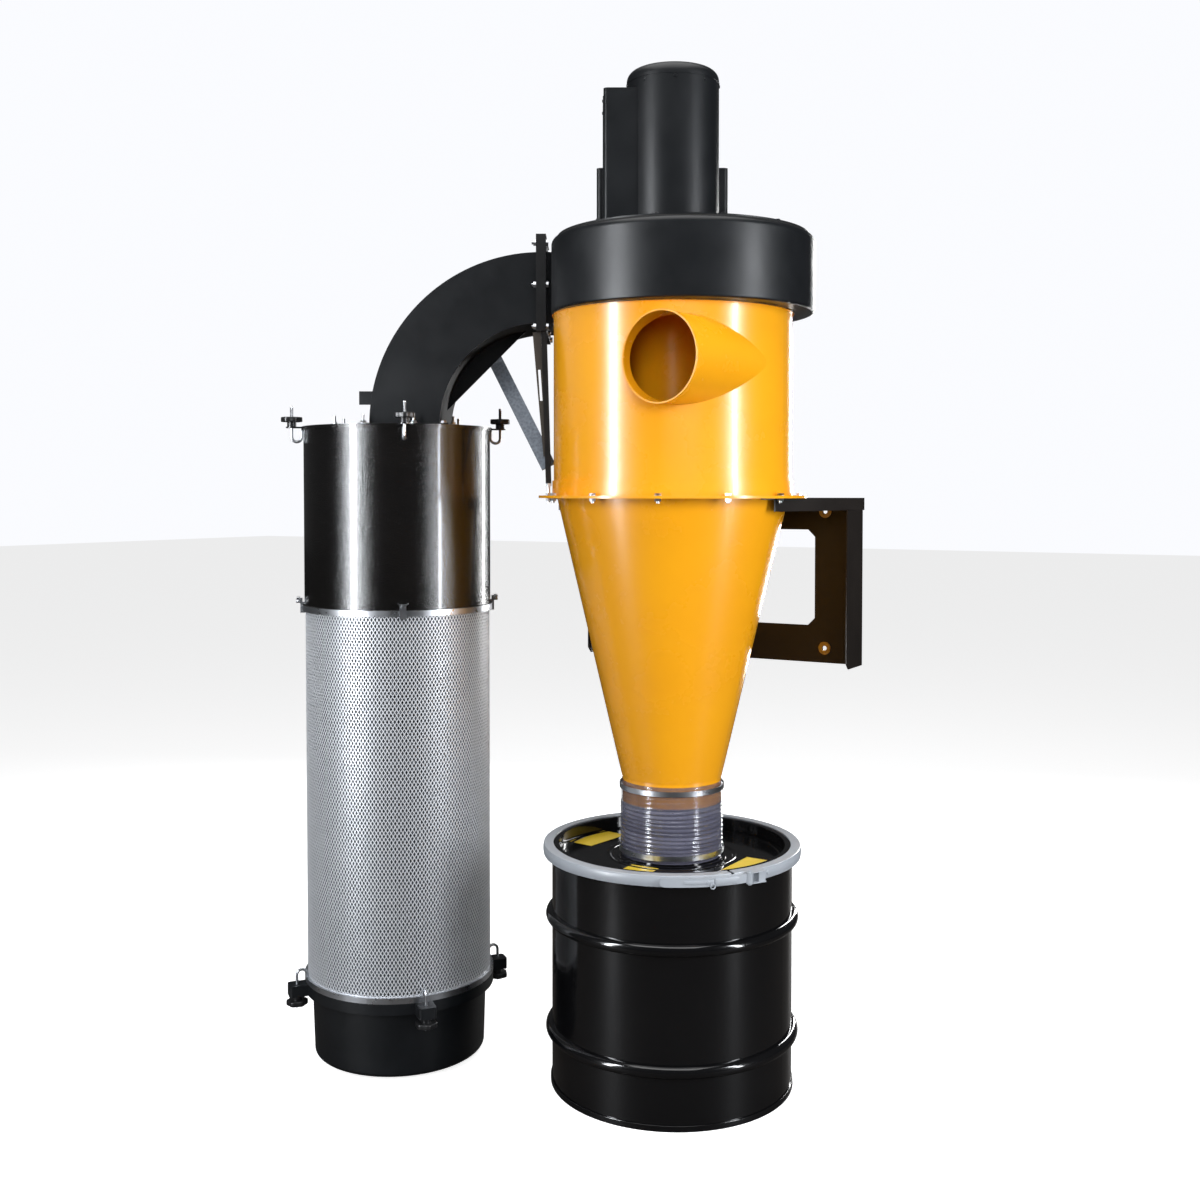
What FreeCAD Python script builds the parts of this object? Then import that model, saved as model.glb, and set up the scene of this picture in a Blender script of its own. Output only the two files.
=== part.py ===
import FreeCAD, Part
import math
import os

Vector = FreeCAD.Vector

# A two-stage cyclone dust collector. Millimetres, +Z up. The origin is the centre of
# the drum's foot, on the floor and on the cyclone's axis. +Y points at the wall.

# Drum
drum_radius = 287
drum_wall = 1.5
curl_radius = 7
curl_height = 558
chime_height = 14
chime_thick = 3.5
chime_round = 1.5
bottom_lift = 18
hoop_heights = (133, 404)
hoop_rise = 15
hoop_half = 14

# Lid and its closing ring
lid_sheet = 1.5
lid_well_gap = 14
lid_drop = 15
lid_rim_reach = 13
lid_rim_thick = 8
lid_rim_round = 2
lid_collar_height = 60
lid_collar_foot = 14
ring_reach_out = 20
ring_sheet = 2
ring_lip = 17
ring_top_lip = 23
ring_split = 8
ring_split_bearing = -37

# Over-centre lever of the closing ring
lever_pin_bearing = -30
lever_sweep = 36
lever_gap = 5.5
lever_thick = 3
lever_pin_radius = 4
pin_clearance = 0.05
pin_offset = 9
pin_end = 3
knuckle_radius = 7
knuckle_gap = 0.5
ear_thick = 2.5
lug_arm = 40
lug_back = 18

# Clear ribbed hose between the lid and the cone
collar_radius = 118
hose_lift = 4
hose_length = 180
hose_wall = 2.5
hose_rib = 3.5
hose_cuff = 3
rib_count = 17
band_width = 12
band_thick = 1.2
band_inset = 9

# Cyclone
sheet = 1.6
barrel_radius = 282
barrel_height = 424
cone_step = 8
cone_height = 662
cone_lift = 8
collar_drop = 60
collar_lap = 12
stiffener_thick = 3.5
stiffener_height = 35
flange_reach = 36
flange_thick = 3
vortex_radius = 105
vortex_length = 287
top_plate_thick = 3
top_plate_overhang = 4

# Tangential inlet
inlet_radius = 99
inlet_inset = 1
inlet_reach = 290
inlet_drop = 127
inlet_bearing = -100
inlet_rim_length = 12
inlet_rim_thick = 1.6

# Bolts of the barrel flange, as M8
bolt_count = 12
bolt_inset = 18
stud_index = 9
bolt_radius = 4
bolt_hole = 4.5
nut_flats = 13
head_thick = 5.5
nut_thick = 6.5
nut_clearance = 0.2
bolt_tail = 4

# The fan, its outlet and the filter are square to a line turned from the wall
duct_turn = 30
fan_overhang = 28
fan_x = 23
fan_y = -5
fan_height = 176
fan_plate_inset = 14
fan_plate_thick = 6
fan_top_round = 14
fan_bottom_round = 6
duct_width = 260
duct_height = 170
duct_wall = 4
duct_drop = 12
duct_joint_gap = 31
duct_flange_thick = 12
duct_flange_side = 25
duct_flange_up = 39
duct_flange_down = 21
bend_inner = 246
foot_flange_edge = 24
foot_flange_thick = 5
foot_bolt_inset = 12
elbow_ear_reach = 24
elbow_ear_thick = 8
elbow_ear_height = 32
elbow_ear_lift = 50
web_thick = 4
web_depth = 44

# Motor on the fan
motor_radius = 109
motor_height = 388
motor_round = 24
motor_foot_reach = 9
motor_foot_height = 14
motor_foot_edge = 4
box_left = -164
box_front = -70
box_back = 72
box_height = 334
rear_left = -180
rear_right = 134
rear_front = 30
rear_back = 170
rear_height = 173
box_round = 10

# Cartridge filter
filter_set_in = 36
plenum_radius = 231
plenum_height = 437
plenum_wall = 1.5
plate_thick = 3
rim_thick = 6
rim_reach = 5
band_height = 14
band_reach = 5
screen_gap = 1.5
screen_height = 906
screen_thick = 1
media_gap = 3.5
media_depth = 36
pan_inset = 14
pan_height = 188
pan_rim_height = 27
pan_taper = 5
pan_wall = 1.5
pan_round = 12

# Clamps round the filter
clamp_reach = 28
ear_half = 14
pan_ear_half = 21
pan_ear_round = 8
hook_radius = 3.5
hook_bend = 12
hook_drop = 22
stud_end = 27
pan_stud_end = 8
knob_radius = 26.5
knob_thick = 12
knob_round = 2.5
hub_radius = 11
hub_height = 12
clasp_half = 8
clasp_thick = 5
clasp_lap = 6
clasp_rise = 16
clasp_stud = 10
top_clamp_bearing = -78
middle_clamp_bearing = -79
pan_clamp_bearing = -68

# Steelwork that holds the elbow
post_width = 13
post_depth = 20
post_head_in = 6
post_set_in = 2
post_lift = 29
strap_thick = 4
strap_length = 300
strap_head = 20
strap_head_out = 18
strap_toe_out = 7
strap_toe = 8
strap_slot = 6
strap_slot_drop = 90
strap_slot_length = 75
brace_width = 36
brace_thick = 4
brace_tab = 26
brace_out = 117
brace_drop = 8
brace_foot = 40

# Wall bracket
wall_gap = 44
bracket_sheet = 3
bracket_overhang = 78
bracket_height = 413
bracket_side = 108
bracket_corner = 15
window_half = 237
window_rise = 93
window_height = 240
window_corner = 18
shelf_clearance = 4
shelf_bolt_edge = 14
shelf_overlap = 5
shelf_front = -52
shelf_tip = -85
shelf_tip_step = 9
shelf_lip = 30
wall_bolt_spread = 528
wall_bolt_rise = 342
wall_bolt_lift = 37
wall_bolt_hole = 6
washer_radius = 16
washer_thick = 2.5

# Heights that follow, from the floor up
lid_panel_top = curl_height - lid_drop
lid_rim_top = curl_height + curl_radius + lid_rim_thick
ring_bottom = curl_height - curl_radius - ring_sheet
ring_top = lid_rim_top + ring_sheet
hose_bottom = lid_panel_top + hose_lift
hose_top = hose_bottom + hose_length
cone_bottom = hose_top + cone_lift
cone_top = cone_bottom + cone_height
shelf_bottom = cone_top - bracket_sheet
cone_flange_top = cone_top + flange_thick
barrel_bottom = cone_flange_top + flange_thick
barrel_top = barrel_bottom + barrel_height
inlet_height = barrel_top - inlet_drop
fan_bottom = barrel_top + top_plate_thick
fan_top = fan_bottom + fan_height
machine_top = fan_top + fan_plate_thick
duct_bottom = fan_bottom - duct_drop
duct_top = duct_bottom + duct_height

# Radii that follow
drum_inside = drum_radius - drum_wall
lid_well_radius = drum_inside - lid_well_gap
lid_rim_radius = drum_radius + lid_rim_reach
ring_radius = drum_radius + ring_reach_out
pin_circle = ring_radius + pin_offset
hose_root = collar_radius + hose_wall
hose_crest = hose_root + hose_rib
cone_bottom_radius = collar_radius + sheet
cone_top_radius = barrel_radius - cone_step
flange_radius = barrel_radius + flange_reach
bolt_circle = barrel_radius + bolt_inset
inlet_offset = barrel_radius - inlet_radius - inlet_inset
fan_radius = barrel_radius + fan_overhang
fan_plate_radius = fan_radius - fan_plate_inset

# The duct and filter that follow
duct_joint_x = -(barrel_radius + duct_joint_gap)
duct_high_y = fan_y + fan_radius
duct_low_y = duct_high_y - duct_width
duct_middle_y = (duct_low_y + duct_high_y) / 2
bend_outer = bend_inner + duct_height
filter_top = duct_bottom - bend_inner
plate_bottom = filter_top - plate_thick
plenum_bottom = plate_bottom - plenum_height
middle_height = plenum_bottom - band_height
screen_bottom = middle_height - screen_height
bottom_height = screen_bottom - band_height
pan_bottom = bottom_height - pan_height
pan_rim_low = bottom_height - pan_rim_height
screen_radius = plenum_radius - screen_gap
media_radius = screen_radius - media_gap
band_inside = media_radius - media_depth
band_outside = plenum_radius + band_reach
pan_radius = plenum_radius - pan_inset
clamp_circle = plenum_radius + clamp_reach
filter_x = duct_joint_x - bend_inner - duct_height / 2 - filter_set_in
filter_y = duct_middle_y
web_line = filter_top - duct_joint_x + math.sqrt(2) * (bend_inner - web_depth)

# The post stands under the duct's near side, on one bolt of the barrel flange
post_y = duct_low_y + post_set_in
post_x = -math.sqrt(bolt_circle ** 2 - post_y ** 2)
post_bearing = math.degrees(math.atan2(post_y, post_x))
first_bolt = post_bearing + duct_turn - 360 / bolt_count * stud_index
post_head_x = duct_joint_x + post_head_in
post_foot = barrel_bottom + post_lift
post_head = duct_bottom - duct_flange_down

# The bracket that follows
bracket_half = barrel_radius + bracket_overhang
wall_face = barrel_radius + wall_gap
wall_inner = wall_face - bracket_sheet
bracket_bottom = cone_top - bracket_height
lip_bottom = cone_top - shelf_lip
shelf_hole = cone_top_radius + shelf_clearance
shelf_front_half = bolt_circle - shelf_bolt_edge
shelf_back_half = bracket_half + shelf_overlap
shelf_tip_half = shelf_front_half - shelf_tip_step
window_low = bracket_bottom + window_rise
window_high = window_low + window_height
wall_bolt_low = bracket_bottom + wall_bolt_lift
wall_bolt_high = wall_bolt_low + wall_bolt_rise


def disc(radius, low, high, x=0, y=0):
    return Part.makeCylinder(radius, high - low, Vector(x, y, low))


def tube(outer, inner, low, high, x=0, y=0):
    return disc(outer, low, high, x, y).cut(disc(inner, low, high, x, y))


def block(x0, x1, y0, y1, z0, z1):
    return Part.makeBox(x1 - x0, y1 - y0, z1 - z0, Vector(x0, y0, z0))


def outline(points):
    # A point of two numbers ends a straight edge, one of four an arc through its last two.
    edges = []
    last = Vector(points[0][0], 0, points[0][1])
    for point in list(points[1:]) + [points[0][:2]]:
        end = Vector(point[0], 0, point[1])
        if len(point) == 4:
            edges.append(Part.Arc(last, Vector(point[2], 0, point[3]), end).toShape())
        else:
            edges.append(Part.makeLine(last, end))
        last = end
    return Part.Face(Part.Wire(edges))


def turned(points, x=0, y=0):
    solid = outline(points).revolve(Vector(0, 0, 0), Vector(0, 0, 1), 360)
    solid.translate(Vector(x, y, 0))
    return solid


def upright(points, y0, y1):
    return outline(points).extrude(Vector(0, y1 - y0, 0)).translated(Vector(0, y0, 0))


def flat(points, low, high):
    corners = [Vector(x, y, low) for x, y in points]
    face = Part.Face(Part.makePolygon(corners + corners[:1]))
    return face.extrude(Vector(0, 0, high - low))


def hexagon(low, high, turn=0, flats=nut_flats):
    reach = flats / 2 / math.cos(math.radians(30))
    angles = [math.radians(30 + 60 * step + turn) for step in range(6)]
    return flat([(reach * math.cos(a), reach * math.sin(a)) for a in angles], low, high)


def turn_about(shape, angle, x=0, y=0):
    copy = shape.copy()
    copy.rotate(Vector(x, y, 0), Vector(0, 0, 1), angle)
    return copy


def on_circle(shape, radius, bearing, x=0, y=0):
    # A shape made round the Z axis goes out to the radius and turns to the bearing.
    copy = shape.copy()
    copy.translate(Vector(radius, 0, 0))
    copy.rotate(Vector(0, 0, 0), Vector(0, 0, 1), bearing)
    copy.translate(Vector(x, y, 0))
    return copy


def quarters(first):
    return [first + 90 * step for step in range(4)]


def fused(first, *others):
    return first.multiFuse(others).removeSplitter() if others else first


def save(name, *shapes):
    solids = [solid for shape in shapes for solid in shape.Solids]
    whole = solids[0] if len(solids) == 1 else Part.makeCompound(solids)
    whole.exportStep("parts/" + name + ".step")
    print(name, len(solids), round(whole.Volume / 1000), whole.isValid())


def save_on_duct_line(name, *shapes):
    save(name, *[turn_about(shape, duct_turn) for shape in shapes])


def round_edges(solid, radius, wanted):
    return solid.makeFillet(radius, [edge for edge in solid.Edges if wanted(edge)])


def circle_at(height, radius):
    def wanted(edge):
        curve = edge.Curve
        if not isinstance(curve, Part.Circle):
            return False
        return abs(curve.Center.z - height) < 0.01 and abs(curve.Radius - radius) < 0.01
    return wanted


def is_upright_at(reach):
    def wanted(edge):
        box = edge.BoundBox
        return box.XMin > reach - 0.01 and box.ZMax - box.ZMin > 1
    return wanted


def is_upright(edge):
    low, high = edge.BoundBox.ZMin, edge.BoundBox.ZMax
    return high - low > 0.9 * edge.Length and edge.Length > 50


def bolt(grip_low, grip_high, turn=0, tail=bolt_tail):
    # A hexagon bolt on the Z axis, head above the grip and nut below it.
    shank = disc(bolt_radius, grip_low - nut_thick - tail, grip_high)
    head = hexagon(grip_high, grip_high + head_thick, turn)
    nut = hexagon(grip_low - nut_thick, grip_low, turn)
    return fused(shank, head, nut)


def laid_along(shape, axis):
    # Turns a shape made along +Z to lie along the axis.
    copy = shape.copy()
    copy.Placement = FreeCAD.Placement(Vector(), FreeCAD.Rotation(Vector(0, 0, 1), axis))
    return copy


# ---- the drum ----

def drum_side(radius):
    run = [(radius, 0)]
    for height in hoop_heights:
        run.append((radius, height - hoop_half))
        run.append((radius, height + hoop_half, radius + hoop_rise, height))
    run.append((radius, curl_height))
    return run


def back_down(run):
    # The same line walked from its top to its bottom, with its arcs kept.
    points = []
    for index in range(len(run) - 1, -1, -1):
        above = run[index + 1] if index + 1 < len(run) else run[index]
        if len(above) == 4 and index + 1 < len(run):
            points.append((run[index][0], run[index][1], above[2], above[3]))
        else:
            points.append(run[index][:2])
    return points


def make_drum():
    inside = drum_inside
    skin = turned(drum_side(drum_radius) + back_down(drum_side(inside)))
    curl = Part.makeTorus(inside + curl_radius, curl_radius, Vector(0, 0, curl_height))
    chime = tube(drum_radius + chime_thick, inside, 0, chime_height)
    for height in (0, chime_height):
        chime = round_edges(chime, chime_round, circle_at(height, drum_radius + chime_thick))
    save("drum_shell", fused(skin, curl, chime))
    plate = disc(inside, bottom_lift, bottom_lift + drum_wall)
    skirt = tube(inside, inside - drum_wall, 1, bottom_lift + drum_wall)
    save("drum_bottom", fused(plate, skirt))


def make_lid():
    hole = collar_radius - sheet
    panel = tube(lid_well_radius, hole, lid_panel_top - lid_sheet, lid_panel_top)
    well = tube(lid_well_radius, lid_well_radius - lid_sheet, lid_panel_top - lid_sheet, lid_rim_top)
    rim = tube(lid_rim_radius, lid_well_radius - lid_sheet, lid_rim_top - lid_rim_thick, lid_rim_top)
    rim = round_edges(rim, lid_rim_round, circle_at(lid_rim_top, lid_rim_radius))
    save("drum_lid", fused(panel, well, rim))
    foot = tube(collar_radius + lid_collar_foot, hole, lid_panel_top, lid_panel_top + 2)
    pipe = tube(collar_radius, hole, lid_panel_top, lid_panel_top + lid_collar_height)
    save("lid_collar", fused(foot, pipe))


def make_closing_ring():
    inner = ring_radius - ring_sheet
    band = tube(ring_radius, inner, ring_bottom, ring_top)
    top = tube(ring_radius, ring_radius - ring_top_lip, ring_top - ring_sheet, ring_top)
    bottom = tube(ring_radius, ring_radius - ring_lip, ring_bottom, ring_bottom + ring_sheet)
    ring = fused(band, top, bottom)
    for height in (ring_bottom, ring_top):
        ring = round_edges(ring, ring_sheet, circle_at(height, ring_radius))
    split = block(drum_radius / 2, ring_radius + 1, -ring_split / 2, ring_split / 2,
                  ring_bottom - 1, ring_top + 1)
    save("closing_ring", ring.cut(turn_about(split, ring_split_bearing)))


def make_lever():
    middle = (ring_bottom + ring_top) / 2
    low = ring_bottom + ear_thick + knuckle_gap
    high = ring_top - ear_thick - knuckle_gap
    ears = []
    for bottom in (ring_bottom, ring_top - ear_thick):
        ear = disc(knuckle_radius + 1, bottom, bottom + ear_thick, pin_circle)
        arm = block(ring_radius - 1, pin_circle + knuckle_radius, 0, lug_arm, bottom, bottom + ear_thick)
        ears.append(fused(ear, arm))
    back = block(ring_radius - 1, pin_circle + lever_pin_radius, lug_arm - lug_back, lug_arm,
                 ring_bottom, ring_top)
    pin = disc(lever_pin_radius, ring_bottom - pin_end, ring_top + pin_end, pin_circle)
    lug = fused(ears[0], ears[1], back, pin).cut(disc(ring_radius, ring_bottom - 9, ring_top + 9))
    save("ring_lug", turn_about(lug, lever_pin_bearing))
    bore = disc(lever_pin_radius + pin_clearance, low - 1, high + 1, pin_circle)
    knuckle = disc(knuckle_radius, low, high, pin_circle)
    inner = ring_radius + lever_gap
    strip = tube(inner + lever_thick, inner, low, high)
    far = ring_radius * 2
    sweep = math.radians(-lever_sweep)
    wedge = flat([(0, 0), (far, 0), (far, -far * 0.3),
                  (far * math.cos(sweep), far * math.sin(sweep))], low, high)
    strip = strip.common(wedge)
    end_x = (inner + lever_thick / 2) * math.cos(sweep)
    end_y = (inner + lever_thick / 2) * math.sin(sweep)
    half = (high - low) / 2
    grip = laid_along(disc(half, -lever_thick, lever_thick), Vector(math.cos(sweep), math.sin(sweep), 0))
    grip.translate(Vector(end_x, end_y, middle))
    tip = tube(inner + lever_thick, inner, low, high).common(grip)
    lever = fused(strip, knuckle, tip).cut(bore)
    save("ring_lever", turn_about(lever, lever_pin_bearing))


# ---- hose, cone and barrel ----

def make_hose():
    pitch = (hose_top - hose_bottom - 2 * hose_cuff) / rib_count
    run = [(collar_radius, hose_bottom), (hose_root, hose_bottom), (hose_root, hose_bottom + hose_cuff)]
    for step in range(rib_count):
        foot = hose_bottom + hose_cuff + step * pitch
        run.append((hose_root, foot + pitch * 0.8, hose_crest, foot + pitch * 0.4))
        if step < rib_count - 1:
            run.append((hose_root, foot + pitch))
    run += [(hose_root, hose_top), (collar_radius, hose_top)]
    save("flex_hose", turned(run))
    bands = []
    for low in (hose_bottom + band_inset, hose_top - band_inset - band_width):
        band = tube(hose_crest + band_thick, hose_crest, low, low + band_width)
        screw_box = block(hose_crest, hose_crest + 10, -14, 14, low - 1, low + band_width + 1)
        screw_box = screw_box.cut(disc(hose_crest, low - 2, low + band_width + 2))
        bands.append(fused(band, turn_about(screw_box, 150)))
    save("hose_clamps", *bands)


def make_cone():
    save("cone", turned([(cone_bottom_radius, cone_bottom), (cone_top_radius, cone_top),
                         (cone_top_radius - sheet, cone_top), (collar_radius, cone_bottom)]))
    save("cone_collar", tube(collar_radius, collar_radius - sheet,
                             cone_bottom - collar_drop, cone_bottom + collar_lap))


def bolt_bearings():
    return [first_bolt + 360 / bolt_count * step for step in range(bolt_count)]


def drilled(shape, low, high, hole=bolt_hole):
    for bearing in bolt_bearings():
        shape = shape.cut(on_circle(disc(hole, low - 1, high + 1), bolt_circle, bearing))
    return shape


def make_flanges():
    low = tube(flange_radius, cone_top_radius - sheet, cone_top, cone_flange_top)
    save("cone_flange", drilled(low, cone_top, cone_flange_top))
    high = tube(flange_radius, barrel_radius - sheet, cone_flange_top, barrel_bottom)
    save("barrel_flange", drilled(high, cone_flange_top, barrel_bottom))


def is_over_shelf(bearing):
    x = bolt_circle * math.cos(math.radians(bearing))
    y = bolt_circle * math.sin(math.radians(bearing))
    return y > shelf_front and abs(x) + bolt_hole < shelf_half_at(y)


def make_flange_bolts():
    bolts = []
    for index, bearing in enumerate(bolt_bearings()):
        grip_low = shelf_bottom if is_over_shelf(bearing) else cone_top
        fastener = bolt(grip_low, barrel_bottom)
        if index == stud_index:
            stud = disc(bolt_radius, barrel_bottom, post_foot)
            lock_nut = hexagon(post_foot - nut_thick, post_foot)
            fastener = fused(fastener, stud, lock_nut)
        bolts.append(on_circle(fastener, bolt_circle, bearing))
    save("flange_bolts", *bolts)


def inlet_pipe(radius, reach, first=0):
    along = Vector(math.cos(math.radians(inlet_bearing)), math.sin(math.radians(inlet_bearing)), 0)
    across = Vector(-along.y, along.x, 0)
    start = across * inlet_offset + along * first + Vector(0, 0, inlet_height)
    return Part.makeCylinder(radius, reach - first, start, along)


def make_barrel():
    bore = inlet_pipe(inlet_radius - sheet, inlet_reach + 10)
    wall = tube(barrel_radius, barrel_radius - sheet, barrel_bottom, barrel_top)
    save("barrel", wall.cut(bore))
    save("barrel_band", tube(barrel_radius + stiffener_thick, barrel_radius,
                             barrel_bottom, barrel_bottom + stiffener_height))
    pipe = inlet_pipe(inlet_radius, inlet_reach).cut(bore)
    save("inlet_tube", pipe.cut(disc(barrel_radius, barrel_bottom, barrel_top)))
    rim = inlet_pipe(inlet_radius + inlet_rim_thick, inlet_reach, inlet_reach - inlet_rim_length)
    save("inlet_rim", rim.cut(inlet_pipe(inlet_radius, inlet_reach)))
    save("barrel_top_plate", tube(barrel_radius + top_plate_overhang, vortex_radius - sheet,
                                  barrel_top, fan_bottom))
    save("vortex_tube", tube(vortex_radius, vortex_radius - sheet,
                             barrel_top - vortex_length, barrel_top))


# ---- fan, motor and elbow, on the duct line ----

def make_fan():
    drum = disc(fan_radius, fan_bottom, fan_top, fan_x, fan_y)
    outlet = block(duct_joint_x, fan_x, duct_low_y, duct_high_y, fan_bottom, duct_top)
    clear_of_plate = -(barrel_radius + top_plate_overhang)
    mouth = block(duct_joint_x, clear_of_plate, duct_low_y, duct_high_y, duct_bottom, duct_top)
    drum = round_edges(drum, fan_top_round, circle_at(fan_top, fan_radius))
    drum = round_edges(drum, fan_bottom_round, circle_at(fan_bottom, fan_radius))
    save_on_duct_line("fan_housing", fused(drum, outlet, mouth))
    lid = disc(fan_plate_radius, fan_top, machine_top, fan_x, fan_y)
    save_on_duct_line("fan_top_plate", lid)


def make_motor():
    top = machine_top + motor_height
    shell = disc(motor_radius, machine_top, top)
    shell = round_edges(shell, motor_round, circle_at(top, motor_radius))
    save_on_duct_line("motor_cover", shell)
    column = disc(motor_radius, machine_top, top)
    reach = motor_radius + motor_foot_reach
    foot = turned([(motor_radius, machine_top), (reach, machine_top),
                   (reach, machine_top + motor_foot_edge),
                   (motor_radius, machine_top + motor_foot_height)])
    slab = block(box_left, 0, box_front, box_back, machine_top, machine_top + box_height)
    side = round_edges(slab, box_round, is_upright)
    rear = block(rear_left, rear_right, rear_front, rear_back, machine_top, machine_top + rear_height)
    rear = round_edges(rear, box_round, is_upright)
    side = side.cut(column)
    save_on_duct_line("control_box", side)
    rear = rear.cut(column).cut(slab)
    save_on_duct_line("rear_box", rear)
    save_on_duct_line("motor_foot", foot.cut(side).cut(rear))


def elbow_bend(inset):
    low, high = duct_low_y + inset, duct_high_y - inset
    near, far = bend_inner + inset, bend_outer - inset
    corners = [Vector(duct_joint_x, y, filter_top + reach)
               for y, reach in ((low, near), (high, near), (high, far), (low, far))]
    face = Part.Face(Part.makePolygon(corners + corners[:1]))
    return face.revolve(Vector(duct_joint_x, 0, filter_top), Vector(0, -1, 0), 90)


def flange_blank(x0, x1):
    blank = block(x0, x1, duct_low_y - duct_flange_side, duct_high_y + duct_flange_side,
                  duct_bottom - duct_flange_down, duct_top + duct_flange_up)
    for y, z in duct_bolt_places():
        blank = blank.cut(Part.makeCylinder(bolt_hole, 40, Vector(x0 - 1, y, z), Vector(1, 0, 0)))
    return blank


def duct_bolt_places():
    low, high = duct_low_y - duct_flange_side / 2, duct_high_y + duct_flange_side / 2
    bottom, top = duct_bottom - duct_flange_down / 2, duct_top + duct_flange_up / 2
    middle = (bottom + top) / 2
    return [(low, bottom), (low, middle), (low, top), (duct_middle_y, top),
            (high, top), (high, middle), (high, bottom), (duct_middle_y, bottom)]


def elbow_foot_box():
    edge = foot_flange_edge
    return (duct_joint_x - bend_outer - edge, duct_joint_x - bend_inner + edge,
            duct_low_y - edge, duct_high_y + edge, filter_top, filter_top + foot_flange_thick)


def foot_bolt_places():
    x0, x1, y0, y1 = elbow_foot_box()[:4]
    inset = foot_bolt_inset
    return [(x, y) for x in (x0 + inset, (x0 + x1) / 2, x1 - inset) for y in (y0 + inset, y1 - inset)]


def make_elbow():
    outer = elbow_bend(0)
    save_on_duct_line("elbow", outer.cut(elbow_bend(duct_wall)))
    joint_low, joint_high = duct_joint_x - duct_flange_thick, duct_joint_x + duct_flange_thick
    save_on_duct_line("elbow_flange", flange_blank(joint_low, duct_joint_x).cut(outer))
    mouth = block(duct_joint_x, joint_high, duct_low_y, duct_high_y, duct_bottom, duct_top)
    save_on_duct_line("outlet_flange", flange_blank(duct_joint_x, joint_high).cut(mouth))
    foot = block(*elbow_foot_box()).cut(outer)
    for x, y in foot_bolt_places():
        foot = foot.cut(disc(bolt_hole, filter_top - 1, filter_top + foot_flange_thick + 1, x, y))
    save_on_duct_line("elbow_foot_flange", foot)
    near, far = duct_middle_y - web_thick / 2, duct_middle_y + web_thick / 2
    left, peak = duct_joint_x - bend_inner, filter_top + bend_inner
    corner = upright([(left, left + web_line), (peak - web_line, peak), (left, peak)], near, far)
    centre = Vector(duct_joint_x, near, filter_top)
    bend_hole = Part.makeCylinder(bend_inner, web_thick, centre, Vector(0, 1, 0))
    save_on_duct_line("elbow_web", bend_hole.common(corner))
    ear_x, ear_z = duct_joint_x - bend_outer, filter_top + elbow_ear_lift
    ear = block(ear_x - elbow_ear_reach, ear_x + elbow_ear_reach,
                duct_low_y, duct_low_y + elbow_ear_thick, ear_z, ear_z + elbow_ear_height)
    save_on_duct_line("elbow_ear", ear.cut(outer))


def make_duct_bolts():
    bolts = []
    grip_low, grip_high = duct_joint_x - duct_flange_thick, duct_joint_x + duct_flange_thick
    for y, z in duct_bolt_places():
        fastener = laid_along(bolt(grip_low, grip_high), Vector(1, 0, 0))
        fastener.translate(Vector(0, y, z))
        bolts.append(fastener)
    for x, y in foot_bolt_places():
        fastener = bolt(plate_bottom, filter_top + foot_flange_thick)
        fastener.translate(Vector(x, y, 0))
        bolts.append(fastener)
    save_on_duct_line("duct_bolts", *bolts)


def make_steelwork():
    front, back = post_y - post_depth / 2, post_y + post_depth / 2
    half = post_width / 2
    post = upright([(post_x - half, post_foot), (post_x + half, post_foot),
                    (post_head_x + half, post_head), (post_head_x - half, post_head)], front, back)
    save_on_duct_line("support_post", post)
    toe_z = post_head - strap_length
    head_x = post_head_x - strap_head_out
    lean = (post_head_x - post_x) / (post_head - post_foot)
    toe_x = post_x + lean * (toe_z - post_foot) - strap_toe_out
    strap = upright([(head_x - strap_head / 2, post_head), (head_x + strap_head / 2, post_head),
                     (toe_x + strap_toe / 2, toe_z), (toe_x - strap_toe / 2, toe_z)],
                    back, back + strap_thick)
    slope = (toe_x - head_x) / strap_length
    slot_z = post_head - strap_slot_drop
    slot_x = head_x + slope * strap_slot_drop
    slot_end = slot_x + slope * strap_slot_length
    slot = upright([(slot_x - strap_slot / 2, slot_z), (slot_x + strap_slot / 2, slot_z),
                    (slot_end + strap_slot / 2, slot_z - strap_slot_length),
                    (slot_end - strap_slot / 2, slot_z - strap_slot_length)],
                   back - 1, back + strap_thick + 1)
    save_on_duct_line("slotted_strap", strap.cut(slot))
    foot = Vector(post_x, back + brace_thick, post_foot + brace_foot)
    save_on_duct_line("diagonal_brace", make_brace(foot))


def laid_bar(x0, x1, start, along):
    # A flat bar from x0 to x1 along its own line, its broad face turned to the front.
    face = (Vector(0, -1, 0) - along * along.dot(Vector(0, -1, 0))).normalize()
    bar = block(x0, x1, -brace_width / 2, brace_width / 2, -brace_thick / 2, brace_thick / 2)
    turn = FreeCAD.Rotation(along, face.cross(along), face, "XZY")
    bar.Placement = FreeCAD.Placement(start, turn).multiply(bar.Placement)
    return bar


def make_brace(end):
    # The bar runs from the back of the elbow's web to the post, with a tab on the web.
    top_x = duct_joint_x - brace_out
    start = Vector(top_x, duct_middle_y + (web_thick + brace_thick) / 2, top_x + web_line - brace_drop)
    along = (end - start).normalize()
    level = Vector(along.x, 0, along.z).normalize()
    bar = laid_bar(0, (end - start).Length, start, along)
    return fused(bar, laid_bar(-brace_tab - brace_drop, 0, start, level))


# ---- cartridge filter ----

def round_filter(maker, *sizes):
    return maker(*sizes, filter_x, filter_y)


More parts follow.
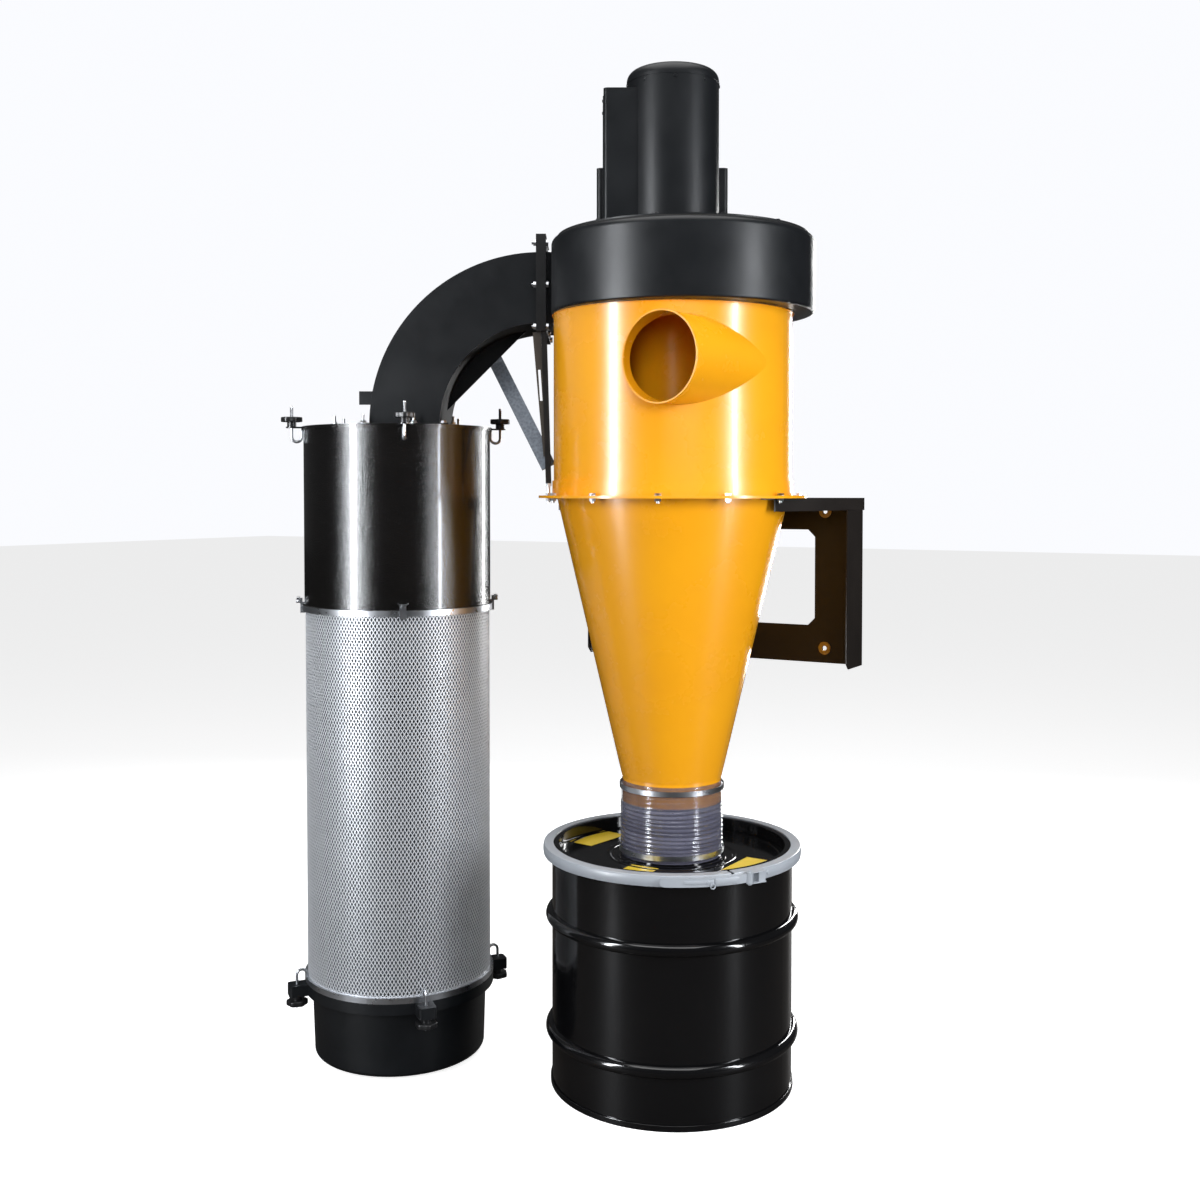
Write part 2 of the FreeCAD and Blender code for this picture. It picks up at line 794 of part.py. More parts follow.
def make_filter():
    plate = round_filter(disc, plenum_radius + rim_reach, plate_bottom, filter_top)
    mouth = block(duct_joint_x - bend_outer + duct_wall, duct_joint_x - bend_inner - duct_wall,
                  duct_low_y + duct_wall, duct_high_y - duct_wall, plate_bottom - 1, filter_top + 1)
    plate = plate.cut(mouth)
    for x, y in foot_bolt_places():
        plate = plate.cut(disc(bolt_hole, plate_bottom - 1, filter_top + 1, x, y))
    ear = fused(block(plenum_radius, clamp_circle, -ear_half, ear_half, plate_bottom, filter_top),
                disc(ear_half, plate_bottom, filter_top, clamp_circle))
    plate = with_ears(plate, ear, top_clamp_bearing, plate_bottom, filter_top)
    save_on_duct_line("filter_top_plate", plate)
    shell = round_filter(tube, plenum_radius, plenum_radius - plenum_wall, plenum_bottom, plate_bottom)
    rim = round_filter(tube, plenum_radius + rim_reach, plenum_radius - plenum_wall,
                       plate_bottom - rim_thick, plate_bottom)
    save_on_duct_line("filter_plenum", fused(shell, rim))
    for name, low in (("middle_ring", middle_height), ("bottom_ring", bottom_height)):
        save_on_duct_line(name, round_filter(tube, band_outside, band_inside, low, low + band_height))
    save_on_duct_line("filter_screen", round_filter(tube, screen_radius, screen_radius - screen_thick,
                                                    screen_bottom, middle_height))
    save_on_duct_line("filter_media", round_filter(tube, media_radius, band_inside,
                                                   screen_bottom, middle_height))
    save_on_duct_line("dust_pan", make_pan())


def make_pan():
    foot = pan_radius - pan_taper
    bend = pan_round * (1 - math.sqrt(0.5))
    pan = turned([(0, pan_bottom), (foot - pan_round, pan_bottom),
                  (foot, pan_bottom + pan_round, foot - bend, pan_bottom + bend),
                  (pan_radius, pan_rim_low), (band_outside, pan_rim_low), (band_outside, bottom_height),
                  (pan_radius - pan_wall, bottom_height), (foot - pan_wall, pan_bottom + pan_round + 2),
                  (foot - pan_round - 2, pan_bottom + pan_wall), (0, pan_bottom + pan_wall)],
                 filter_x, filter_y)
    reach = clamp_circle + pan_ear_half
    ear = block(pan_radius + rim_reach, reach, -pan_ear_half, pan_ear_half, pan_rim_low, bottom_height)
    ear = round_edges(ear, pan_ear_round, is_upright_at(reach))
    return with_ears(pan, ear, pan_clamp_bearing, pan_rim_low, bottom_height)


def with_ears(shape, ear, first, low, high):
    # Four ears with a hole each for the clamps' bolts.
    hole = disc(hook_radius + 0.5, low - 1, high + 1, clamp_circle)
    for bearing in quarters(first):
        shape = fused(shape, on_circle(ear, 0, bearing, filter_x, filter_y))
        shape = shape.cut(on_circle(hole, 0, bearing, filter_x, filter_y))
    return shape


def make_knob():
    # A round black knob: a hub that bears on the ear and a wheel at its end.
    top = hub_height + knob_thick
    wheel = round_edges(disc(knob_radius, hub_height, top), knob_round, circle_at(top, knob_radius))
    return fused(disc(hub_radius, 0, top), wheel).cut(disc(hook_radius, -1, top + 1))


def make_hook(ear, rim, tail):
    # A J-bolt: its stud stands through the ear and the knob, and its leg turns back to the rim.
    low = -ear - hook_drop
    stud = disc(hook_radius, low, hub_height + knob_thick + tail)
    bend = Part.makeTorus(hook_bend, hook_radius, Vector(-hook_bend, 0, low), Vector(0, 1, 0))
    under = block(-4 * hook_bend, 2 * hook_bend, -hook_bend, hook_bend, low - 2 * hook_bend, low)
    leg = disc(hook_radius, low, -rim, -2 * hook_bend)
    return fused(stud, bend.common(under), leg)


def turned_over(shape):
    return shape.mirror(Vector(), Vector(0, 0, 1))


def round_clamps(shape, foot, radius, first):
    shape = shape.translated(Vector(0, 0, foot))
    return [on_circle(shape, radius, bearing, filter_x, filter_y) for bearing in quarters(first)]


def make_clamps():
    knob = make_knob()
    hook = make_hook(plate_thick, plate_thick + rim_thick, stud_end)
    save_on_duct_line("top_knobs", *round_clamps(knob, filter_top, clamp_circle, top_clamp_bearing))
    save_on_duct_line("top_hooks", *round_clamps(hook, filter_top, clamp_circle, top_clamp_bearing))
    # The pan hangs from its clamps, so these point down and their legs hold the ring above it
    knob = turned_over(knob)
    hook = turned_over(make_hook(pan_rim_height, pan_rim_height + band_height, pan_stud_end))
    save_on_duct_line("pan_knobs", *round_clamps(knob, pan_rim_low, clamp_circle, pan_clamp_bearing))
    save_on_duct_line("pan_hooks", *round_clamps(hook, pan_rim_low, clamp_circle, pan_clamp_bearing))
    save_on_duct_line("middle_clasps", *round_clamps(make_clasp(), 0, 0, middle_clamp_bearing))


def make_clasp():
    # A clasp holds the screen's upper ring to the plenum, with a stud for its wing nut.
    low, high = middle_height - clasp_lap, plenum_bottom + clasp_rise
    jaw = block(band_outside, band_outside + clasp_thick, -clasp_half, clasp_half, low, high)
    lower = block(screen_radius - 2, band_outside, -clasp_half, clasp_half, low, middle_height)
    upper = block(plenum_radius - 2, band_outside, -clasp_half, clasp_half,
                  plenum_bottom, plenum_bottom + clasp_lap)
    stud_foot = Vector(band_outside + clasp_thick, 0, (plenum_bottom + high) / 2)
    stud = Part.makeCylinder(bolt_radius, clasp_stud, stud_foot, Vector(1, 0, 0))
    clasp = fused(jaw, lower, upper, stud)
    steps = ((screen_radius, low - 1, middle_height), (band_outside, middle_height, plenum_bottom),
             (plenum_radius, plenum_bottom, high))
    for radius, z0, z1 in steps:
        clasp = clasp.cut(disc(radius, z0, z1))
    return clasp


# ---- wall bracket ----

def shelf_half_at(y):
    slope = (shelf_back_half - shelf_front_half) / (wall_inner - shelf_front)
    return shelf_front_half + slope * (y - shelf_front)


def window_outline():
    w, c = window_half, window_corner
    right = [(w - c, window_low), (w, window_low + c), (w, window_high - c), (w - c, window_high)]
    return right + [(-x, z) for x, z in reversed(right)]


def make_bracket():
    plate = block(-bracket_half, bracket_half, wall_inner, wall_face, bracket_bottom, cone_top)
    plate = plate.cut(upright(window_outline(), wall_inner - 1, wall_face + 1))
    washers = []
    for x in (-wall_bolt_spread / 2, wall_bolt_spread / 2):
        for z in (wall_bolt_low, wall_bolt_high):
            centre = Vector(x, wall_inner - washer_thick, z)
            depth = washer_thick + 2 * bracket_sheet
            hole = Part.makeCylinder(wall_bolt_hole, depth, centre, Vector(0, 1, 0))
            washer = Part.makeCylinder(washer_radius, washer_thick, centre, Vector(0, 1, 0))
            plate = plate.cut(hole)
            washers.append(washer.cut(hole))
    save("wall_plate", plate)
    save("wall_washers", *washers)
    front = wall_inner - bracket_side
    corners = [(wall_inner, bracket_bottom), (front + bracket_corner, bracket_bottom),
               (front, bracket_bottom + bracket_corner), (front, lip_bottom), (wall_inner, lip_bottom)]
    corners = [Vector(bracket_half - bracket_sheet, y, z) for y, z in corners]
    side = Part.Face(Part.makePolygon(corners + corners[:1])).extrude(Vector(bracket_sheet, 0, 0))
    save("bracket_sides", side, side.mirror(Vector(), Vector(1, 0, 0)))
    make_shelf()


def make_shelf():
    edge = [(shelf_tip_half, shelf_tip), (shelf_front_half, shelf_front), (shelf_back_half, wall_inner)]
    top = flat(edge + [(-x, y) for x, y in reversed(edge)], shelf_bottom, cone_top)
    top = top.cut(disc(shelf_hole, shelf_bottom - 1, cone_top + 1))
    lip = flat([edge[1], edge[2], (shelf_back_half - bracket_sheet, wall_inner),
                (shelf_front_half - bracket_sheet, shelf_front)], lip_bottom, cone_top)
    shelf = fused(top, lip, lip.mirror(Vector(), Vector(1, 0, 0)))
    room = nut_flats / 2 / math.cos(math.radians(30)) + nut_clearance
    for bearing in bolt_bearings():
        over = is_over_shelf(bearing)
        ceiling = shelf_bottom if over else cone_top
        shelf = shelf.cut(on_circle(disc(room, lip_bottom - 1, ceiling), bolt_circle, bearing))
        shelf = shelf.cut(on_circle(disc(bolt_hole, lip_bottom - 1, cone_top + 1), bolt_circle, bearing))
    save("bracket_shelf", shelf)


os.makedirs("parts", exist_ok=True)
make_drum()
make_lid()
make_closing_ring()
make_lever()
make_hose()
make_cone()
make_flanges()
make_flange_bolts()
make_barrel()
make_fan()
make_motor()
make_elbow()
make_duct_bolts()
make_steelwork()
make_filter()
make_clamps()
make_bracket()
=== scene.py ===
import math
import random

import bmesh
import bpy
from mathutils import Matrix, Vector


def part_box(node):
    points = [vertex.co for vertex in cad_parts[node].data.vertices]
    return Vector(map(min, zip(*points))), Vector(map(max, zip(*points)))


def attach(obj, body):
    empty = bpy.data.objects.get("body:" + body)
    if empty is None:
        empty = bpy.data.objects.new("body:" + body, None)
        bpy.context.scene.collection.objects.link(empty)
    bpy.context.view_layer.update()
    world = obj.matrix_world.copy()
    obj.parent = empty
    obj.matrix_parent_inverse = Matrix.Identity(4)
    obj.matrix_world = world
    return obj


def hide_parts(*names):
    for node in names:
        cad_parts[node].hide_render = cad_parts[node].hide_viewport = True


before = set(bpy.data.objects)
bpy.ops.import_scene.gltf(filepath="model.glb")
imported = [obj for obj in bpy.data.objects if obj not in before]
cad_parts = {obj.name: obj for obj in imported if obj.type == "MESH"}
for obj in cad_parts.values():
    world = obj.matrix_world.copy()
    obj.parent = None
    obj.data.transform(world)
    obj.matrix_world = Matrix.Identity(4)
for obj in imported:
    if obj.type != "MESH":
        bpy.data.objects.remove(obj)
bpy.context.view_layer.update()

random.seed(7)


class Shade:
    # A socket of a node tree. Sums and products of shades add their own Math nodes.
    def __init__(self, tree, socket=None):
        self.tree = tree
        self.socket = socket

    def node(self, kind, settings, sockets, output=0):
        node = self.tree.nodes.new("ShaderNode" + kind)
        for name, value in settings.items():
            setattr(node, name, value)
        for name, value in sockets.items():
            if isinstance(value, Shade):
                self.tree.links.new(value.socket, node.inputs[name])
            else:
                node.inputs[name].default_value = value
        return Shade(self.tree, node.outputs[output])

    def math(self, operation, first, second):
        return self.node("Math", {"operation": operation}, {0: first, 1: second})

    def __add__(self, other):
        return self.math("ADD", self, other)

    def __radd__(self, other):
        return self.math("ADD", other, self)

    def __sub__(self, other):
        return self.math("SUBTRACT", self, other)

    def __rsub__(self, other):
        return self.math("SUBTRACT", other, self)

    def __mul__(self, other):
        return self.math("MULTIPLY", self, other)

    def __rmul__(self, other):
        return self.math("MULTIPLY", other, self)


def noise(start, place, scale, detail=2.0, rough=0.5):
    return start.node("TexNoise", {}, {"Vector": place, "Scale": scale, "Detail": detail,
                                       "Roughness": rough})


def mixed(start, amount, first, second):
    return start.node("Mix", {"data_type": "RGBA"}, {0: amount, 6: first + (1,), 7: second + (1,)}, 2)


def startMaterial(name):
    material = bpy.data.materials.new(name)
    material.use_nodes = True
    material.node_tree.nodes.clear()
    start = Shade(material.node_tree)
    return material, start, start.node("TexCoord", {}, {}, "Object")


def closeMaterial(material, surface):
    output = material.node_tree.nodes.new("ShaderNodeOutputMaterial")
    material.node_tree.links.new(surface.socket, output.inputs["Surface"])
    return material


def painted(name, look):
    # A paint, moulding or plate: blotches shift its colour and gloss, grain lifts its surface.
    share = {"waveScale": 0.06, "blotchLow": 0.3, "blotchGain": 1.6}
    material, start, place = startMaterial(name)
    blotch = noise(start, place, look["blotchScale"], 5.0, 0.6)
    grain = noise(start, place, look["grainScale"])
    wave = noise(start, place, look["grainScale"] * share["waveScale"])
    bump = start.node("Bump", {}, {"Strength": look["grain"], "Distance": look["grainDepth"],
                                   "Height": grain + wave * look["wave"]})
    surface = start.node("BsdfPrincipled", {}, {
        "Base Color": mixed(start, (blotch - share["blotchLow"]) * share["blotchGain"],
                            look["colour"], look["shade"]),
        "Metallic": look.get("metallic", 0.0),
        "Roughness": look["roughness"] + (blotch - 0.5) * look["swing"],
        "Specular IOR Level": look.get("specular", 0.5),
        "Coat Weight": look.get("coat", 0.0),
        "Coat Roughness": look.get("coatRoughness", 0.1),
        "Normal": bump})
    return closeMaterial(material, surface)


paintLooks = {
    "yellow_powder_coat": {
        "colour": (0.93, 0.4, 0.008), "shade": (0.88, 0.36, 0.006), "roughness": 0.27, "swing": 0.1,
        "blotchScale": 5, "grainScale": 420, "grain": 0.1, "grainDepth": 0.0006, "wave": 0.8,
        "coat": 0.35, "coatRoughness": 0.12},
    "black_moulding": {
        "colour": (0.0042, 0.005, 0.0062), "shade": (0.007, 0.0082, 0.01), "roughness": 0.4,
        "swing": 0.22, "blotchScale": 9, "grainScale": 900, "grain": 0.22, "grainDepth": 0.0004,
        "wave": 0.3, "specular": 0.36},
    "black_orange_peel": {
        "colour": (0.0035, 0.0033, 0.0032), "shade": (0.006, 0.0052, 0.0045), "roughness": 0.17,
        "swing": 0.08, "blotchScale": 6, "grainScale": 360, "grain": 0.55, "grainDepth": 0.0012,
        "wave": 0.2, "specular": 0.7, "coat": 0.5},
    "black_enamel": {
        "colour": (0.003, 0.003, 0.0034), "shade": (0.005, 0.005, 0.0055), "roughness": 0.13,
        "swing": 0.1, "blotchScale": 4, "grainScale": 160, "grain": 0.06, "grainDepth": 0.0008,
        "wave": 1.0, "coat": 0.25, "coatRoughness": 0.06},
    "grey_ring_enamel": {
        "colour": (0.4, 0.43, 0.47), "shade": (0.34, 0.37, 0.41), "roughness": 0.36, "swing": 0.2,
        "blotchScale": 14, "grainScale": 500, "grain": 0.15, "grainDepth": 0.0004, "wave": 0.5},
    "zinc_plate": {
        "colour": (0.62, 0.64, 0.67), "shade": (0.5, 0.51, 0.54), "roughness": 0.3, "swing": 0.22,
        "blotchScale": 40, "grainScale": 700, "grain": 0.12, "grainDepth": 0.0003, "wave": 0.4,
        "metallic": 1.0},
    "screen_steel": {
        "colour": (0.68, 0.7, 0.73), "shade": (0.6, 0.62, 0.65), "roughness": 0.46, "swing": 0.16,
        "blotchScale": 18, "grainScale": 600, "grain": 0.1, "grainDepth": 0.0003, "wave": 0.4,
        "metallic": 0.35},
    # Painted shade: the pale filter media is coloured a darker grey, standing in for the shade it lies in
    # behind the screen.
    "spun_polyester_painted_shade": {
        "colour": (0.34, 0.36, 0.39), "shade": (0.28, 0.3, 0.33), "roughness": 0.88, "swing": 0.1,
        "blotchScale": 30, "grainScale": 1200, "grain": 0.4, "grainDepth": 0.0006, "wave": 0.5,
        "specular": 0.2},
    "bracket_brown": {
        "colour": (0.0085, 0.0062, 0.005), "shade": (0.013, 0.0094, 0.0072), "roughness": 0.42,
        "swing": 0.16, "blotchScale": 8, "grainScale": 520, "grain": 0.28, "grainDepth": 0.0006,
        "wave": 0.4},
    "satin_black_steel": {
        "colour": (0.009, 0.009, 0.01), "shade": (0.014, 0.014, 0.014), "roughness": 0.34,
        "swing": 0.16, "blotchScale": 16, "grainScale": 600, "grain": 0.2, "grainDepth": 0.0005,
        "wave": 0.4},
    "strap_brown_steel": {
        "colour": (0.085, 0.072, 0.06), "shade": (0.055, 0.045, 0.036), "roughness": 0.42,
        "swing": 0.2, "blotchScale": 30, "grainScale": 700, "grain": 0.2, "grainDepth": 0.0004,
        "wave": 0.5, "metallic": 0.5},
    "knob_black": {
        "colour": (0.01, 0.01, 0.011), "shade": (0.018, 0.018, 0.019), "roughness": 0.33,
        "swing": 0.18, "blotchScale": 50, "grainScale": 1400, "grain": 0.2, "grainDepth": 0.0003,
        "wave": 0.3},
    "yellow_zinc": {
        "colour": (0.5, 0.4, 0.24), "shade": (0.38, 0.29, 0.17), "roughness": 0.34, "swing": 0.22,
        "blotchScale": 60, "grainScale": 800, "grain": 0.12, "grainDepth": 0.0003, "wave": 0.4,
        "metallic": 1.0},
    "yellow_sticker": {
        "colour": (0.86, 0.62, 0.03), "shade": (0.78, 0.55, 0.03), "roughness": 0.42, "swing": 0.14,
        "blotchScale": 40, "grainScale": 900, "grain": 0.1, "grainDepth": 0.0002, "wave": 0.4},
    "black_rubber": {
        "colour": (0.012, 0.012, 0.012), "shade": (0.02, 0.019, 0.018), "roughness": 0.7,
        "swing": 0.14, "blotchScale": 40, "grainScale": 900, "grain": 0.2, "grainDepth": 0.0003,
        "wave": 0.4, "specular": 0.3},
}
finishes = {name: painted(name, look) for name, look in paintLooks.items()}


def hammeredEnamel():
    look = {"cells": 170, "depth": 0.0007, "strength": 0.6, "roughness": 0.33, "metallic": 0.35,
            "paintedShadeHollow": (0.10, 0.115, 0.14), "crest": (0.22, 0.25, 0.29)}
    material, start, place = startMaterial("hammered_grey_enamel")
    cells = start.node("TexVoronoi", {"feature": "SMOOTH_F1"}, {"Vector": place, "Scale": look["cells"]})
    bump = start.node("Bump", {}, {"Strength": look["strength"], "Distance": look["depth"], "Height": cells})
    # Painted shade and light: the hammered dents are coloured darker and their ridges lighter, following the
    # same cells as the bump.
    colour = mixed(start, cells, look["paintedShadeHollow"], look["crest"])
    surface = start.node("BsdfPrincipled", {}, {"Base Color": colour, "Roughness": look["roughness"],
                                                "Metallic": look["metallic"], "Normal": bump})
    return closeMaterial(material, surface)


def clearVinyl():
    # Smoky vinyl: darker and denser in bands, and clearer where it lies over the cone's collar.
    look = {"body": 0.56, "bandShare": 0.26, "clearer": 0.34, "roughness": 0.10, "creaseGloss": 0.12,
            "crease": 38, "creaseDepth": 0.002, "bandStretch": (3.0, 3.0, 60.0), "fade": 0.003,
            "dark": (0.06, 0.06, 0.095), "pale": (0.21, 0.21, 0.28)}
    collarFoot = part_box("cone_collar")[0].z
    material, start, place = startMaterial("smoky_clear_vinyl")
    stretch = start.node("Mapping", {}, {"Vector": place, "Scale": look["bandStretch"]})
    bands = noise(start, stretch, 1.0, 3.0)
    creases = noise(start, place, look["crease"], 4.0)
    height = start.node("SeparateXYZ", {}, {"Vector": place}, 2)
    overCollar = start.node("MapRange", {}, {"Value": height, "From Min": collarFoot - look["fade"],
                                             "From Max": collarFoot + look["fade"]})
    bump = start.node("Bump", {}, {"Strength": 0.35, "Distance": look["creaseDepth"], "Height": creases})
    surface = start.node("BsdfPrincipled", {}, {
        "Base Color": mixed(start, bands, look["dark"], look["pale"]),
        "Roughness": look["roughness"] + creases * look["creaseGloss"],
        "Alpha": look["body"] + bands * look["bandShare"] - overCollar * look["clearer"],
        "Specular IOR Level": 0.7, "Coat Weight": 0.4, "Coat Roughness": 0.05, "Normal": bump})
    return closeMaterial(material, surface)


def paleFloor():
    # The floor looks as pale as the room behind it, and is dim in what the black paint mirrors.
    look = {"paint": (0.80, 0.80, 0.80), "dim": (0.045, 0.040, 0.036), "glow": (0.80, 0.80, 0.80),
            "roughness": 0.6, "plain": 0.96, "speckle": 0.04, "speckleScale": 40.0}
    material, start, place = startMaterial("pale_floor")
    isSeen = start.node("LightPath", {}, {}, "Is Camera Ray")
    speckle = noise(start, place, look["speckleScale"])
    surface = start.node("BsdfPrincipled", {}, {
        "Base Color": mixed(start, isSeen * (look["plain"] + speckle * look["speckle"]),
                            look["dim"], look["paint"]),
        "Roughness": look["roughness"], "Specular IOR Level": 0.2,
        "Emission Color": mixed(start, isSeen, (0, 0, 0), look["glow"]), "Emission Strength": 1.0})
    return closeMaterial(material, surface)


finishes["pale_floor"] = paleFloor()
finishes["hammered_grey_enamel"] = hammeredEnamel()
finishes["smoky_clear_vinyl"] = clearVinyl()
print("finishes:", len(finishes))

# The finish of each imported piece
nodeFinishes = {
    "yellow_powder_coat": ["cone", "cone_collar", "cone_flange", "barrel", "barrel_flange", "barrel_band",
                           "inlet_tube", "inlet_rim", "barrel_top_plate", "vortex_tube"],
    "black_enamel": ["drum_shell", "drum_bottom", "drum_lid", "lid_collar"],
    "grey_ring_enamel": ["closing_ring", "ring_lug", "ring_lever"],
    "smoky_clear_vinyl": ["flex_hose"],
    "zinc_plate": ["hose_clamps", "flange_bolts", "duct_bolts", "top_hooks", "pan_hooks", "middle_clasps",
                   "middle_ring", "bottom_ring"],
    "screen_steel": ["filter_screen"],
    "yellow_zinc": ["wall_washers"],
    "black_moulding": ["fan_housing", "fan_top_plate", "motor_cover", "motor_foot", "control_box", "rear_box",
                       "elbow", "elbow_web", "elbow_ear", "dust_pan"],
    "satin_black_steel": ["outlet_flange", "elbow_flange", "elbow_foot_flange", "support_post"],
    "strap_brown_steel": ["slotted_strap"],
    "hammered_grey_enamel": ["diagonal_brace"],
    "black_orange_peel": ["filter_top_plate", "filter_plenum"],
    "knob_black": ["top_knobs", "pan_knobs"],
    "spun_polyester_painted_shade": ["filter_media"],
    "bracket_brown": ["wall_plate", "bracket_sides", "bracket_shelf"],
}
for finishName, nodeNames in nodeFinishes.items():
    for nodeName in nodeNames:
        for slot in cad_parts[nodeName].material_slots:
            slot.material = finishes[finishName]


def addPiece(name, bm, finishName, body="collector", sharpAngle=32):
    bmesh.ops.recalc_face_normals(bm, faces=bm.faces[:])
    mesh = bpy.data.meshes.new(name)
    bm.to_mesh(mesh)
    bm.free()
    mesh.shade_smooth()
    mesh.set_sharp_from_angle(angle=math.radians(sharpAngle))
    mesh.materials.append(finishes[finishName])
    piece = bpy.data.objects.new(name, mesh)
    bpy.context.scene.collection.objects.link(piece)
    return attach(piece, body)


def middleOf(node):
    low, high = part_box(node)
    return (low + high) / 2


def polar(radius, bearing, height=0.0, centre=(0, 0)):
    turn = math.radians(bearing)
    return Vector((centre[0] + radius * math.cos(turn), centre[1] + radius * math.sin(turn), height))


def placed(point, bearing=0.0):
    return Matrix.Translation(point) @ Matrix.Rotation(math.radians(bearing), 4, "Z")


def addProfile(bm, points):
    verts = [bm.verts.new((radius, 0, height)) for radius, height in points]
    edges = [bm.edges.new((verts[step - 1], verts[step])) for step in range(len(verts))]
    return verts, edges


def spinRing(bm, points, centre=(0, 0), steps=96):
    # A closed outline of radii and heights goes all the way round.
    verts, edges = addProfile(bm, points)
    bmesh.ops.translate(bm, verts=verts, vec=(centre[0], centre[1], 0))
    bmesh.ops.spin(bm, geom=verts + edges, cent=(centre[0], centre[1], 0), axis=(0, 0, 1),
                   angle=math.tau, steps=steps, use_merge=True)


def ovalOutline(radius, height, across, up):
    # The outline of a round or oval bead of ten sides
    turns = [step * math.tau / 10 for step in range(10)]
    return [(radius + across * math.cos(turn), height + up * math.sin(turn)) for turn in turns]


def addCopy(bm, other, name):
    # Adds a finished bmesh to another and frees it.
    mesh = bpy.data.meshes.new(name)
    other.to_mesh(mesh)
    other.free()
    bm.from_mesh(mesh)
    bpy.data.meshes.remove(mesh)


def spinBar(bm, radii, heights, bearings, centre=(0, 0), steps=12):
    # A bar of square section bent round the centre from one bearing to the other.
    verts = [bm.verts.new((radius, 0, height)) for radius, height in
             ((radii[0], heights[0]), (radii[1], heights[0]), (radii[1], heights[1]), (radii[0], heights[1]))]
    face = bm.faces.new(verts)
    bmesh.ops.transform(bm, matrix=placed((centre[0], centre[1], 0), bearings[0]), verts=verts)
    bmesh.ops.spin(bm, geom=verts + list(face.edges) + [face], cent=(centre[0], centre[1], 0), axis=(0, 0, 1),
                   angle=math.radians(bearings[1] - bearings[0]), steps=steps)


def addRod(bm, radius, low, high, matrix, segments=24, topRadius=None):
    # A rod along the matrix's own Z, from low to high.
    lift = Matrix.Translation((0, 0, (low + high) / 2))
    bmesh.ops.create_cone(bm, cap_ends=True, segments=segments, radius1=radius,
                          radius2=radius if topRadius is None else topRadius,
                          depth=high - low, matrix=matrix @ lift)


def addBlock(bm, low, high, matrix):
    low, high = Vector(low), Vector(high)
    size = Matrix.Diagonal((high - low).to_4d())
    size[3][3] = 1
    return bmesh.ops.create_cube(bm, size=1, matrix=matrix @ Matrix.Translation((low + high) / 2) @ size)


def softened(bm, width, segments=2):
    sharp = [edge for edge in bm.edges if edge.is_manifold and edge.calc_face_angle(0) > 0.8]
    bmesh.ops.bevel(bm, geom=sharp, offset=width, affect="EDGES", segments=segments, profile=0.5, material=-1)


outward = Matrix.Rotation(math.radians(90), 4, "Y")    # turns +Z to +X, before a bearing turns it
filterCentre = middleOf("filter_plenum").xy


def makeScreen():
    # Expanded metal: diamonds of a poked grid, each opened by an inset, thickened and bent round.
    # Whole diamonds at the far side of a panel fill the half ones left out of the next.
    mesh = {"panels": 4, "columns": 40, "rows": 60, "strand": 0.00100, "sheet": 0.0009}
    low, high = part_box("filter_screen")
    radius = (high.x - low.x) / 2 - mesh["sheet"]
    width = math.tau * radius / mesh["panels"]
    bm = bmesh.new()
    bmesh.ops.create_grid(bm, x_segments=mesh["columns"], y_segments=mesh["rows"], size=0.5)
    bmesh.ops.scale(bm, verts=bm.verts, vec=(width, high.z - low.z, 1))
    crossed = [edge for edge in bm.edges if not edge.is_boundary]
    bmesh.ops.poke(bm, faces=bm.faces[:])
    bmesh.ops.dissolve_edges(bm, edges=crossed, use_verts=False)
    column = width / mesh["columns"]
    halves = [face for face in bm.faces if len(face.verts) == 3
              and abs(face.calc_center_median().x) > width / 2 - column / 3]
    for half in [face for face in halves if face.calc_center_median().x > 0]:
        border = next(edge for edge in half.edges if edge.is_boundary)
        corner = bmesh.utils.edge_split(border, border.verts[0], 0.5)[1]
        corner.co.x += column / 2
    bmesh.ops.delete(bm, geom=[face for face in halves if len(face.verts) == 3], context="FACES")
    cells = bm.faces[:]
    bmesh.ops.inset_individual(bm, faces=cells, thickness=mesh["strand"], use_even_offset=True)
    bmesh.ops.delete(bm, geom=cells, context="FACES")
    bmesh.ops.solidify(bm, geom=bm.faces[:], thickness=mesh["sheet"])
    for vert in bm.verts:
        turn = vert.co.x / radius
        reach = radius + vert.co.z
        vert.co = (filterCentre.x + reach * math.cos(turn), filterCentre.y + reach * math.sin(turn),
                   vert.co.y + (low.z + high.z) / 2)
    for panel in range(mesh["panels"]):
        copy = bm.copy()
        turn = Matrix.Rotation(math.tau / mesh["panels"] * panel, 3, "Z")
        bmesh.ops.rotate(copy, verts=copy.verts, cent=(filterCentre.x, filterCentre.y, 0), matrix=turn)
        piece = addPiece(f"expanded_screen_{panel + 1}", copy, "screen_steel", sharpAngle=50)
        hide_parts("filter_screen")
    bm.free()


def makeMedia():
    pleat = {"count": 150, "valley": 0.030, "inset": 0.0005, "backing": 0.004, "endGap": 0.001}
    low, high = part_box("filter_media")
    outer = (high.x - low.x) / 2 - pleat["inset"]
    bm = bmesh.new()
    folds = 2 * pleat["count"]
    inner = outer - pleat["valley"]
    star = bmesh.ops.create_circle(bm, cap_ends=False, segments=folds, radius=outer)["verts"]
    for vert in star[::2]:
        vert.co *= inner / outer
    bmesh.ops.create_circle(bm, cap_ends=False, segments=folds, radius=inner - pleat["backing"])
    ring = bmesh.ops.bridge_loops(bm, edges=bm.edges[:])["faces"]
    top = bmesh.ops.extrude_face_region(bm, geom=ring)["geom"]
    raised = [item for item in top if isinstance(item, bmesh.types.BMVert)]
    bmesh.ops.translate(bm, verts=raised, vec=(0, 0, high.z - low.z - 2 * pleat["endGap"]))
    bmesh.ops.translate(bm, verts=bm.verts, vec=(filterCentre.x, filterCentre.y, low.z + pleat["endGap"]))
    piece = addPiece("pleated_media", bm, "spun_polyester_painted_shade", sharpAngle=20)
    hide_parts("filter_media")


clamps = {"radius": 0.259, "stud": 0.0035, "topBearing": -48, "middleBearing": -49, "panBearing": -38}


